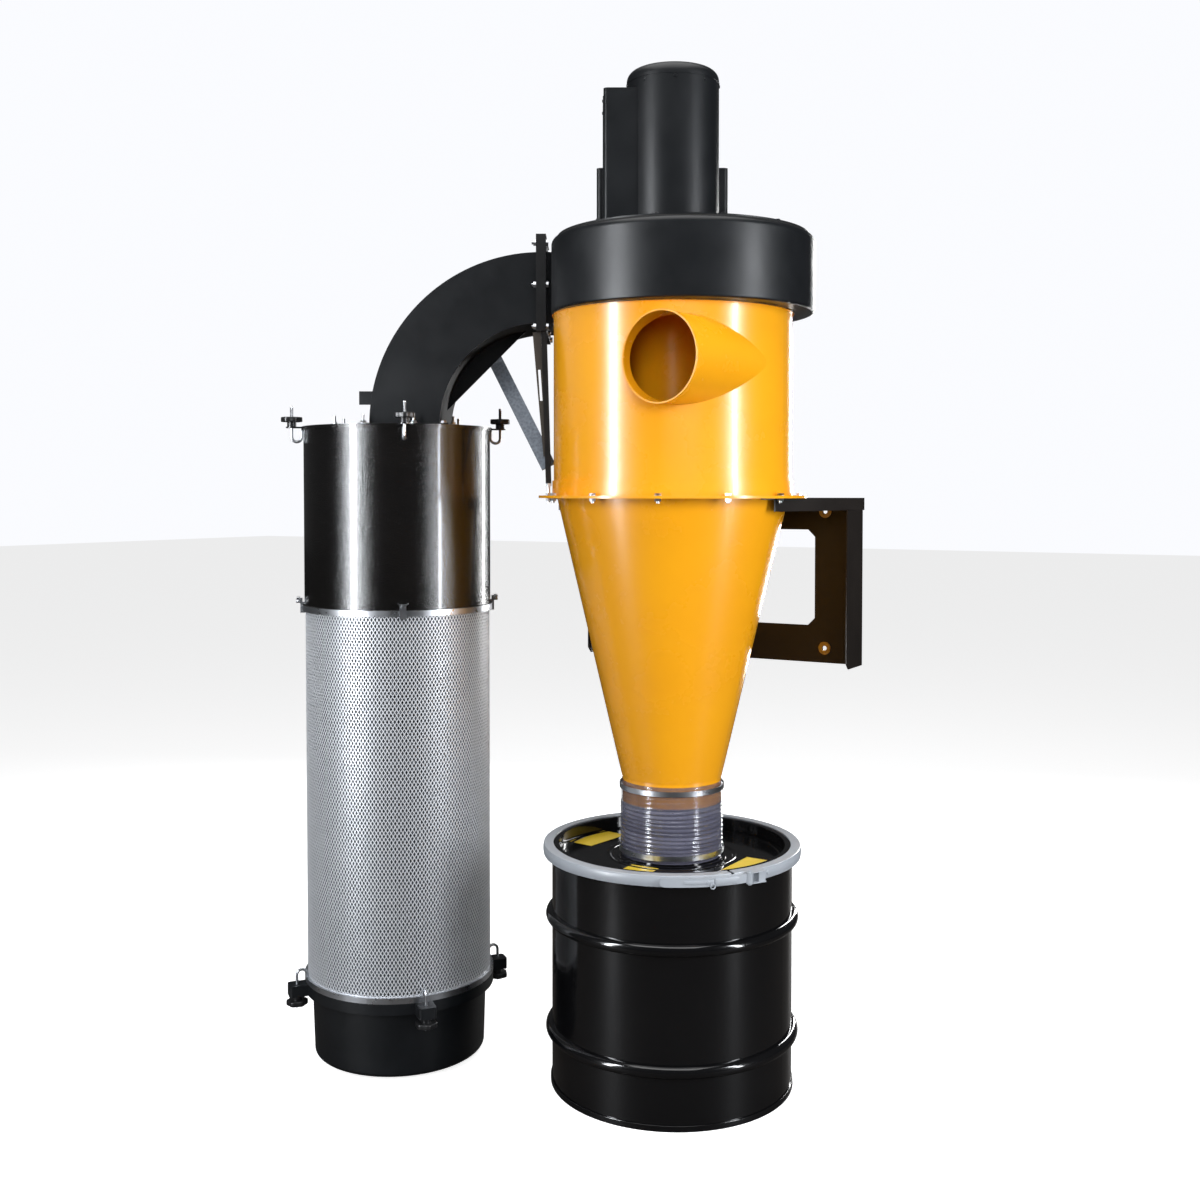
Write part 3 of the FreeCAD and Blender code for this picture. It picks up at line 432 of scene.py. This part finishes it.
def addKnob(bm, matrix):
    # A knob of six lobes on a hub, its foot at the matrix's origin.
    knob = {"radius": 0.0262, "lobes": 6, "lobe": 0.10, "hub": 0.0112, "hubHeight": 0.012,
            "height": 0.024, "dish": 0.003, "dishRim": 0.005, "round": 0.002}
    segments = knob["lobes"] * 14
    wheel = bmesh.ops.create_circle(bm, cap_ends=True, segments=segments, radius=knob["radius"])["verts"]
    for vert in wheel:
        turn = math.atan2(vert.co.y, vert.co.x) * knob["lobes"]
        vert.co *= 1 - knob["lobe"] * (1 - math.cos(turn)) / 2
    face = wheel[0].link_faces[0]
    grown = bmesh.ops.extrude_face_region(bm, geom=[face])["geom"]
    upper = [item for item in grown if isinstance(item, bmesh.types.BMVert)]
    bmesh.ops.translate(bm, verts=wheel, vec=(0, 0, knob["hubHeight"]))
    bmesh.ops.translate(bm, verts=upper, vec=(0, 0, knob["height"]))
    made = set(wheel) | set(upper)
    rims = [edge for edge in bm.edges if edge.verts[0] in made and edge.calc_face_angle(0) > 1.2]
    bmesh.ops.bevel(bm, geom=rims, offset=knob["round"], affect="EDGES", segments=3, profile=0.5,
                    material=-1)
    flat = [face for face in bm.faces if face.normal.z > 0.99 and len(face.verts) > 8]
    bmesh.ops.inset_region(bm, faces=flat, thickness=knob["dishRim"], depth=-knob["dish"])
    bmesh.ops.transform(bm, matrix=matrix, verts=bm.verts)
    addRod(bm, knob["hub"], 0, knob["hubHeight"] + 0.001, matrix, 32)
    addRod(bm, knob["hub"] * 0.75, knob["height"] - 0.004, knob["height"], matrix, 32)


def makeKnobs():
    strayTurn = 17    # each knob has been left at another angle
    for label, node, bearing, upright in (("top", "top_knobs", clamps["topBearing"], 1),
                                          ("pan", "pan_knobs", clamps["panBearing"], -1)):
        low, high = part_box(node)
        foot = low.z if upright > 0 else high.z
        flip = Matrix.Identity(4) if upright > 0 else Matrix.Rotation(math.pi, 4, "X")
        bm = bmesh.new()
        for corner in range(4):
            spot = polar(clamps["radius"], bearing + 90 * corner, foot, filterCentre)
            single = bmesh.new()
            addKnob(single, placed(spot, bearing + (90 + strayTurn) * corner) @ flip)
            addCopy(bm, single, "single_knob")
        piece = addPiece(f"{label}_star_knobs", bm, "knob_black")
        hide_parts(node)


def addThread(bm, low, high, spot):
    # Rings of a thread, close enough together to read as one
    thread = {"pitch": 0.00125, "rise": 0.0004}
    root, crest, matrix = clamps["stud"], clamps["stud"] + thread["rise"], placed(spot)
    for turn in range(max(1, int((high - low) / thread["pitch"]))):
        foot = low + turn * thread["pitch"]
        middle, end = foot + thread["pitch"] / 2, foot + thread["pitch"]
        addRod(bm, root, foot, middle, matrix, 16, crest)
        addRod(bm, crest, middle, end, matrix, 16, root)


def makeStudThreads():
    plainEnd = 0.001
    bm = bmesh.new()
    for bearing, low, high in (
            (clamps["topBearing"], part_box("top_knobs")[1].z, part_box("top_hooks")[1].z - plainEnd),
            (clamps["panBearing"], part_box("pan_hooks")[0].z + plainEnd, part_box("pan_knobs")[0].z)):
        for corner in range(4):
            addThread(bm, low, high, polar(clamps["radius"], bearing + 90 * corner, 0, filterCentre))
    addPiece("stud_threads", bm, "zinc_plate")


def makeWingNuts():
    nut = {"reach": 0.2412, "upClasp": 0.82, "hub": 0.0062, "length": 0.008, "wing": 0.015,
           "wingFoot": 0.004, "wingEnds": (0.001, 0.009), "thick": 0.0022, "tilt": 35}
    low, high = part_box("middle_clasps")
    height = low.z + (high.z - low.z) * nut["upClasp"]
    bm = bmesh.new()
    for corner in range(4):
        bearing = clamps["middleBearing"] + 90 * corner
        seat = placed(polar(nut["reach"], bearing, height, filterCentre), bearing)
        addRod(bm, nut["hub"], 0, nut["length"], seat @ outward, 20, nut["hub"] * 0.75)
        for side in (-1, 1):
            tilt = Matrix.Rotation(side * math.radians(nut["tilt"]), 4, "X")
            first, second = sorted((side * nut["wingFoot"], side * nut["wing"]))
            addBlock(bm, (nut["wingEnds"][0], first, -nut["thick"] / 2),
                     (nut["wingEnds"][1], second, nut["thick"] / 2), seat @ tilt)
    softened(bm, 0.0006)
    addPiece("clasp_wing_nuts", bm, "zinc_plate")


def makePlateStuds():
    # Studs with nuts hold the elbow's foot down on the filter's top plate.
    stud = {"circle": 0.158, "count": 8, "first": 52.5, "radius": 0.0032, "tall": 0.021, "nut": 0.0068,
            "nutHeight": 0.005, "washer": 0.00952, "sunk": 0.001, "tip": 0.0006}
    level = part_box("elbow_foot_flange")[1].z
    bm = bmesh.new()
    for step in range(stud["count"]):
        bearing = stud["first"] + 360 / stud["count"] * step
        seat = placed(polar(stud["circle"], bearing, level, filterCentre), 13 * step)
        addRod(bm, stud["washer"], -stud["sunk"], stud["sunk"], seat, 24)
        addRod(bm, stud["nut"], stud["sunk"], stud["sunk"] + stud["nutHeight"], seat, 6)
        addRod(bm, stud["radius"], 0, stud["tall"] - stud["tip"], seat, 20)
        addRod(bm, stud["radius"], stud["tall"] - stud["tip"], stud["tall"], seat, 20,
               stud["radius"] * 0.8)
    addPiece("foot_studs_and_nuts", bm, "zinc_plate")


def makePlenumSeam():
    # The plenum is one sheet rolled round, with a spot-welded lap down its front.
    seam = {"bearing": -74, "lap": 1.6, "sunk": 0.0005, "thick": 0.0009, "foot": 0.001, "head": 0.007,
            "overScreen": 0.0015, "welds": 9, "weld": 0.0028, "weldRise": 0.0008, "weldAside": 1.2}
    low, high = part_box("filter_plenum")
    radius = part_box("filter_screen")[1].x - filterCentre.x + seam["overScreen"]
    bm = bmesh.new()
    spinBar(bm, (radius - seam["sunk"], radius + seam["thick"]),
            (low.z + seam["foot"], high.z - seam["head"]),
            (seam["bearing"], seam["bearing"] + seam["lap"]), filterCentre, 3)
    weldBearing = seam["bearing"] - seam["weldAside"]
    for step in range(seam["welds"]):
        height = low.z + (high.z - low.z) * (step + 0.6) / (seam["welds"] + 0.3)
        spot = placed(polar(radius, weldBearing, height, filterCentre), weldBearing)
        addRod(bm, seam["weld"], -seam["sunk"], seam["weldRise"], spot @ outward, 14, seam["weld"] * 0.6)
    addPiece("plenum_lap_seam", bm, "black_orange_peel")


def makeGaskets():
    gasket = {"inset": 0.0014, "width": 0.012, "half": 0.0012, "lip": 0.0005, "bulge": 0.0012}
    bm = bmesh.new()
    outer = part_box("middle_ring")[1].x - filterCentre.x - gasket["inset"]
    for node, height in (("middle_ring", 1), ("bottom_ring", 0)):
        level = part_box(node)[height].z
        under, over = level - gasket["half"], level + gasket["half"]
        lip, inner = outer + gasket["lip"], outer - gasket["width"]
        spinRing(bm, [(inner, under), (lip, under), (outer + gasket["bulge"], level), (lip, over),
                      (inner, over)], filterCentre)
    addPiece("filter_gaskets", bm, "black_rubber")


def makeHose():
    hose = {"inner": 0.1185, "ribs": 17, "wall": 0.0016, "rise": 0.0033, "leastRise": 0.72, "sway": 0.08,
            "ribShare": 0.84, "cuff": 0.004, "endGap": 0.0005, "arc": 6, "still": 0.018, "ease": 0.03,
            "wander": 0.0016, "wanderTurns": 40}
    low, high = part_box("flex_hose")
    inner, outer = hose["inner"], hose["inner"] + hose["wall"]
    foot, head = low.z + hose["endGap"], high.z - hose["endGap"]
    pitch = (high.z - low.z - 2 * hose["cuff"]) / hose["ribs"]
    points = [(inner, foot), (outer, foot)]
    for rib in range(hose["ribs"]):
        ribFoot = low.z + hose["cuff"] + rib * pitch
        rise = hose["rise"] * random.uniform(hose["leastRise"], 1.0)
        sway = random.uniform(-hose["sway"], hose["sway"])
        for step in range(hose["arc"] + 1):
            along = step / hose["arc"]
            bulge = math.sin(along * math.pi)
            points.append((outer + rise * bulge, ribFoot + pitch * (hose["ribShare"] * along + sway * bulge)))
    points += [(outer, head), (inner, head)]
    bm = bmesh.new()
    spinRing(bm, points, steps=88)
    for vert in bm.verts:
        turn = math.atan2(vert.co.y, vert.co.x)
        away = min(vert.co.z - low.z, high.z - vert.co.z)
        ease = min(1.0, max(0.0, (away - hose["still"]) / hose["ease"]))
        vert.co.z += ease * hose["wander"] * math.sin(2 * turn + hose["wanderTurns"] * vert.co.z)
    piece = addPiece("ribbed_hose", bm, "smoky_clear_vinyl", sharpAngle=60)
    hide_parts("flex_hose")


def makeClampScrews():
    screw = {"bearing": 150, "reach": 0.1315, "length": 0.030, "radius": 0.0042, "bandMiddle": 0.007,
             "headHeight": 0.004, "headShare": 1.35}
    low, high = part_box("hose_clamps")
    bm = bmesh.new()
    for height in (low.z + screw["bandMiddle"], high.z - screw["bandMiddle"]):
        seat = placed(polar(screw["reach"], screw["bearing"], height), screw["bearing"])
        lay = seat @ Matrix.Rotation(math.radians(90), 4, "X")
        end = screw["length"] / 2
        addRod(bm, screw["radius"], -end, end, lay, 20)
        addRod(bm, screw["radius"] * screw["headShare"], end, end + screw["headHeight"], lay, 6)
    softened(bm, 0.0004)
    addPiece("clamp_screws", bm, "zinc_plate")


def makeLidStickers():
    # Blank stickers on the lid's panel: radius, bearing, length along the rim, width
    stickers = ((0.229, 171, 0.137, 0.070), (0.190, 270, 0.070, 0.110), (0.203, -3, 0.137, 0.070))
    thick = 0.0005
    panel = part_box("lid_collar")[0].z
    bm = bmesh.new()
    for radius, bearing, along, across in stickers:
        addBlock(bm, (-across / 2, -along / 2, 0), (across / 2, along / 2, thick),
                 placed(polar(radius, bearing, panel), bearing))
    addPiece("blank_lid_stickers", bm, "yellow_sticker")


def makeDrumSeam():
    # The drum's side seam, between its chimes and hoops
    seam = {"bearing": 96, "lap": 1.2, "sunk": 0.0004, "thick": 0.0007, "body": 0.287,
            "stretches": ((0.016, 0.118), (0.149, 0.388), (0.419, 0.545))}
    bm = bmesh.new()
    for stretch in seam["stretches"]:
        spinBar(bm, (seam["body"] - seam["sunk"], seam["body"] + seam["thick"]), stretch,
                (seam["bearing"], seam["bearing"] + seam["lap"]), steps=2)
    addPiece("drum_side_seam", bm, "black_enamel")


def makeLidBeads():
    # Two pressed beads run round the lid's panel.
    bead = {"radii": (0.150, 0.262), "outline": ((-0.005, -0.0002), (-0.003, 0.0014), (0, 0.002),
                                                 (0.003, 0.0014), (0.005, -0.0002))}
    bm = bmesh.new()
    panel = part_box("lid_collar")[0].z
    for radius in bead["radii"]:
        spinRing(bm, [(radius + across, panel + up) for across, up in bead["outline"]])
    addPiece("lid_beads", bm, "black_enamel")


def makeLeverDetails():
    # The lever's raised channel, its stiffener, its rivet and the padlock eye
    lever = {"inner": 0.3155, "sunk": 0.0005, "low": 0.5555, "high": 0.5685,
             "channelOuter": 0.3185, "channel": (-45.5, -35),
             "stiffenerOuter": 0.3171, "stiffenerInset": 0.003, "stiffener": (-58, -46),
             "rivetBearing": -48.5, "rivetHeight": 0.562, "rivet": 0.0045, "rivetRise": 0.0028,
             "eyeBearing": -46.5, "eyeHeight": 0.5525, "eyeOut": 0.0015, "eye": 0.0052, "eyeRound": 0.0016}
    bm = bmesh.new()
    under = lever["inner"] - lever["sunk"]
    spinBar(bm, (under, lever["channelOuter"]), (lever["low"], lever["high"]), lever["channel"], steps=8)
    spinBar(bm, (under, lever["stiffenerOuter"]),
            (lever["low"] + lever["stiffenerInset"], lever["high"] - lever["stiffenerInset"]),
            lever["stiffener"], steps=8)
    softened(bm, 0.0007)
    rivet = placed(polar(lever["inner"], lever["rivetBearing"], lever["rivetHeight"]), lever["rivetBearing"])
    addRod(bm, lever["rivet"], 0, lever["rivetRise"], rivet @ outward, 24, lever["rivet"] / 1.5)
    hang = polar(lever["inner"] + lever["eyeOut"], lever["eyeBearing"], lever["eyeHeight"])
    ring = bmesh.new()
    spinRing(ring, ovalOutline(lever["eye"], 0, lever["eyeRound"], lever["eyeRound"]), steps=28)
    bmesh.ops.transform(ring, matrix=placed(hang, lever["eyeBearing"]) @ outward, verts=ring.verts)
    addCopy(bm, ring, "eye")
    addPiece("lever_channel_and_eye", bm, "grey_ring_enamel", "lever")


def makeRingDetails():
    # The closing ring's rounded face and the rivets beside the lever's lug
    ring = {"reach": 0.3062, "height": 0.562, "bulge": 0.0022, "halfHeight": 0.0105,
            "rivetBearings": (-22, -19), "rivetReach": 0.3075, "rivet": 0.0045, "rivetRise": 0.003}
    bm = bmesh.new()
    spinRing(bm, ovalOutline(ring["reach"], ring["height"], ring["bulge"], ring["halfHeight"]), steps=128)
    for bearing in ring["rivetBearings"]:
        seat = placed(polar(ring["rivetReach"], bearing, ring["height"]), bearing)
        addRod(bm, ring["rivet"], 0, ring["rivetRise"], seat @ outward, 20, ring["rivet"] / 1.5)
    addPiece("ring_bead_and_rivets", bm, "grey_ring_enamel")


def makeInletBead():
    # The rolled edge inside the inlet's mouth
    bead = {"radius": 0.0988, "round": 0.0021, "bearing": -100, "aside": 0.182, "mouth": 0.2895}
    along = polar(1, bead["bearing"])
    mouth = Vector((-along.y, along.x, 0)) * bead["aside"] + along * bead["mouth"]
    mouth.z = middleOf("inlet_rim").z
    bm = bmesh.new()
    spinRing(bm, ovalOutline(bead["radius"], -bead["round"], bead["round"], bead["round"]), steps=96)
    turn = along.to_track_quat("Z", "Y").to_matrix().to_4x4()
    bmesh.ops.transform(bm, matrix=Matrix.Translation(mouth) @ turn, verts=bm.verts)
    addPiece("inlet_rolled_bead", bm, "yellow_powder_coat")


def makeBarrelSeams():
    # Lock seams where the barrel's and the cone's sheets close on themselves
    seam = {"bearing": 55, "lap": 1.3, "sunk": 0.0004, "thick": 0.0012, "overBand": 0.036,
            "coneThick": 0.0018, "coneHalf": 0.004, "coneFoot": 0.012, "coneShort": 0.03,
            "coneBottomRadius": 0.1196}
    low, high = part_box("barrel")
    coneLow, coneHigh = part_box("cone")
    radius = (high.x - low.x) / 2
    bm = bmesh.new()
    spinBar(bm, (radius - seam["sunk"], radius + seam["thick"]),
            (low.z + seam["overBand"], high.z - 0.001), (seam["bearing"], seam["bearing"] + seam["lap"]),
            steps=3)
    tall = coneHigh.z - coneLow.z
    slope = ((coneHigh.x - coneLow.x) / 2 - seam["coneBottomRadius"]) / tall
    verts = addBlock(bm, (0, -seam["coneHalf"], 0),
                     (seam["coneThick"], seam["coneHalf"], tall - seam["coneShort"]),
                     Matrix.Identity(4))["verts"]
    for vert in verts:
        vert.co.x += seam["coneBottomRadius"] - seam["sunk"] + slope * (vert.co.z + seam["coneFoot"])
    foot = placed((0, 0, coneLow.z + seam["coneFoot"]), seam["bearing"])
    bmesh.ops.transform(bm, matrix=foot, verts=verts)
    addPiece("lock_seams", bm, "yellow_powder_coat")


def makeFlangeWashers():
    washer = {"circle": 0.300, "first": -69.01, "count": 12, "radius": 0.0088, "hole": 0.0042,
              "thick": 0.0008}
    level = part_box("barrel_flange")[1].z
    over = level + washer["thick"]
    bm = bmesh.new()
    for step in range(washer["count"]):
        spot = polar(washer["circle"], washer["first"] + 360 / washer["count"] * step)
        spinRing(bm, [(washer["hole"], level), (washer["radius"], level), (washer["radius"], over),
                      (washer["hole"], over)], (spot.x, spot.y), 24)
    addPiece("flange_washers", bm, "zinc_plate")


def makeHousingSeals():
    # The dark seal under the fan housing and the trim line round its top plate
    seal = {"sunk": 0.001, "foot": 0.0035, "head": 0.0028, "tall": 0.0022,
            "underSunk": 0.004, "underProud": 0.0006, "underGap": 0.0005}
    bm = bmesh.new()
    low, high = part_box("fan_top_plate")
    radius = (high.x - low.x) / 2
    inner, over = radius - seal["sunk"], low.z + seal["tall"]
    spinRing(bm, [(inner, low.z), (radius + seal["foot"], low.z), (radius + seal["head"], over),
                  (inner, over)], middleOf("fan_top_plate").xy, 128)
    low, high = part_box("barrel_top_plate")
    inner, outer = (high.x - low.x) / 2 - seal["underSunk"], (high.x - low.x) / 2 + seal["underProud"]
    head, foot = high.z - seal["underGap"], high.z - seal["tall"]
    spinRing(bm, [(inner, head), (outer, head), (outer, foot), (inner, foot)], steps=128)
    addPiece("housing_seals", bm, "black_rubber")


def makePlateScrews():
    screw = {"count": 12, "first": 15, "inset": 0.014, "radius": 0.0058, "rise": 0.0038,
             "washer": 0.0087, "washerThick": 0.001, "strayTurn": 11}
    low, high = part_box("fan_top_plate")
    centre = ((low + high) / 2).xy
    radius = (high.x - low.x) / 2 - screw["inset"]
    bm = bmesh.new()
    for step in range(screw["count"]):
        spot = polar(radius, screw["first"] + 360 / screw["count"] * step, high.z, centre)
        addRod(bm, screw["washer"], 0, screw["washerThick"], placed(spot), 24)
        addRod(bm, screw["radius"], screw["washerThick"], screw["rise"] + screw["washerThick"],
               placed(spot, screw["strayTurn"] * step), 6)
    softened(bm, 0.0005)
    addPiece("top_plate_screws", bm, "satin_black_steel")


def makeMotorDetails():
    # The motor cover's two bead lines and its screws, and the lid of the control box
    trim = {"beadLevels": (-0.030, 0.022), "bead": ((-0.001, -0.0016), (0.0009, -0.001), (0.0009, 0.001),
                                                    (-0.001, 0.0016)),
            "screwBearings": (-60, -20, 20, 100, 220, 260), "screwDrop": 0.038, "screw": 0.0045,
            "screwTop": 0.0034, "screwEnds": (-0.001, 0.0022),
            "lidTurn": 30, "lidLow": (-0.1655, -0.058, 0.016), "lidHigh": (-0.1635, 0.060, 0.318),
            "lidRound": 0.0007,
            "lidScrews": ((-0.050, 0.026), (-0.050, 0.308), (0.052, 0.026), (0.052, 0.308)),
            "lidScrew": 0.0038, "lidScrewTop": 0.0028, "lidScrewRise": 0.0016}
    bm = bmesh.new()
    low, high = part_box("motor_cover")
    radius = (high.x - low.x) / 2
    for level in (high.z + trim["beadLevels"][0], low.z + trim["beadLevels"][1]):
        spinRing(bm, [(radius + across, level + up) for across, up in trim["bead"]], steps=96)
    for bearing in trim["screwBearings"]:
        seat = placed(polar(radius, bearing, high.z - trim["screwDrop"]), bearing)
        addRod(bm, trim["screw"], *trim["screwEnds"], seat @ outward, 20, trim["screwTop"])
    turned = placed((0, 0, 0), trim["lidTurn"])
    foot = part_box("control_box")[0].z
    lid = addBlock(bm, trim["lidLow"], trim["lidHigh"], turned @ Matrix.Translation((0, 0, foot)))
    toLeft = Matrix.Rotation(math.radians(-90), 4, "Y")
    for across, up in trim["lidScrews"]:
        seat = turned @ Matrix.Translation((trim["lidLow"][0], across, foot + up)) @ toLeft
        addRod(bm, trim["lidScrew"], 0, trim["lidScrewRise"], seat, 18, trim["lidScrewTop"])
    lidEdges = {edge for vert in lid["verts"] for edge in vert.link_edges}
    bmesh.ops.bevel(bm, geom=list(lidEdges), offset=trim["lidRound"], affect="EDGES", segments=2,
                    profile=0.5, material=-1)
    addPiece("motor_trim", bm, "black_moulding")


for make in (makeScreen, makeMedia, makeKnobs, makeStudThreads, makeWingNuts, makePlateStuds,
             makePlenumSeam, makeGaskets, makeHose, makeClampScrews, makeLidStickers, makeDrumSeam,
             makeLidBeads, makeLeverDetails, makeRingDetails, makeInletBead, makeBarrelSeams,
             makeFlangeWashers, makeHousingSeals, makePlateScrews, makeMotorDetails):
    make()
    print("made:", make.__name__)


frontBearing = -60


def makeFloor():
    bm = bmesh.new()
    bmesh.ops.create_grid(bm, x_segments=1, y_segments=1, size=30)    # reaches the horizon
    mesh = bpy.data.meshes.new("floor")
    bm.to_mesh(mesh)
    bm.free()
    mesh.materials.append(finishes["pale_floor"])
    floor = bpy.data.objects.new("floor", mesh)
    bpy.context.scene.collection.objects.link(floor)


def makeSky():
    # Pale to look at, and dimmer as light, so the blacks keep their depth
    sky = {"seen": 1.0, "light": 0.05, "paleness": (0.96, 0.97, 1.0, 1)}
    world = bpy.data.worlds.new("pale_room")
    bpy.context.scene.world = world
    world.use_nodes = True
    world.node_tree.nodes.clear()
    start = Shade(world.node_tree)
    isSeen = start.node("LightPath", {}, {}, "Is Camera Ray")
    strength = isSeen * (sky["seen"] - sky["light"]) + sky["light"]
    background = start.node("Background", {}, {"Color": sky["paleness"], "Strength": strength})
    output = world.node_tree.nodes.new("ShaderNodeOutputWorld")
    world.node_tree.links.new(background.socket, output.inputs["Surface"])


def addLight(name, spot, target, size, power, colour=(1, 1, 1)):
    light = bpy.data.lights.new(name, "AREA")
    light.shape = "RECTANGLE"
    light.size, light.size_y = size
    light.energy = power
    light.color = colour
    lamp = bpy.data.objects.new(name, light)
    bpy.context.scene.collection.objects.link(lamp)
    lamp.location = spot
    lamp.rotation_euler = (Vector(target) - Vector(spot)).to_track_quat("-Z", "Y").to_euler()
    return lamp


# Degrees from the front (left is minus), distance, height, width and height of the lamp, power, colour.
# A gloss strip only shows in what mirrors it, and the other lamps of this list don't show there.
lights = {
    "left_front_softbox": (-50, 3.0, 1.6, (0.9, 2.0), 46, (0.93, 0.96, 1.0)),
    "left_edge_softbox": (-104, 2.6, 1.5, (0.5, 2.4), 22, (1.0, 1.0, 1.0)),
    "right_softbox": (56, 3.0, 1.6, (0.9, 2.0), 74, (0.93, 0.96, 1.0)),
    "back_softbox": (178, 3.4, 1.8, (1.6, 2.2), 80, (1.0, 1.0, 1.0)),
    "front_fill": (6, 4.2, 2.4, (2.6, 1.8), 92, (1.0, 1.0, 1.0)),
    "left_gloss_strip": (-57, 2.66, 1.5, (0.30, 2.3), 110, (0.93, 0.96, 1.0)),
    "right_gloss_strip": (55, 2.86, 1.5, (0.26, 2.3), 84, (0.93, 0.96, 1.0)),
    "rear_gloss_strip": (150, 2.9, 1.5, (0.24, 2.3), 50, (1.0, 1.0, 1.0)),
}


def makeLights():
    aim = (-0.25, -0.1, 1.15)
    for name, (turn, distance, height, size, power, colour) in lights.items():
        lamp = addLight(name, polar(distance, frontBearing + turn, height), aim, size, power, colour)
        lamp.visible_glossy = "gloss" in name
        lamp.visible_diffuse = "gloss" not in name
    addLight("ceiling_softbox", (0.2, -0.6, 4.2), (0, 0, 0.6), (3.0, 3.0), 85)


def makeCamera():
    view = {"distance": 3.240, "height": 1.410, "left": 0.172, "pitch": 1.8, "lens": 40.75,
            "shift": -0.054}
    camera = bpy.data.cameras.new("camera")
    camera.lens = view["lens"]
    camera.sensor_width = 36
    camera.shift_y = view["shift"]
    camera.clip_end = 100
    rig = bpy.data.objects.new("camera", camera)
    bpy.context.scene.collection.objects.link(rig)
    front = polar(view["distance"], frontBearing)
    aside = polar(view["left"], frontBearing - 90)
    rig.location = (front.x + aside.x, front.y + aside.y, view["height"])
    rig.rotation_euler = (math.radians(90 - view["pitch"]), 0, math.radians(frontBearing + 90))
    bpy.context.scene.camera = rig
    bpy.context.scene.view_settings.view_transform = "Standard"


makeFloor()
makeSky()
makeLights()
makeCamera()
print("stage is set")
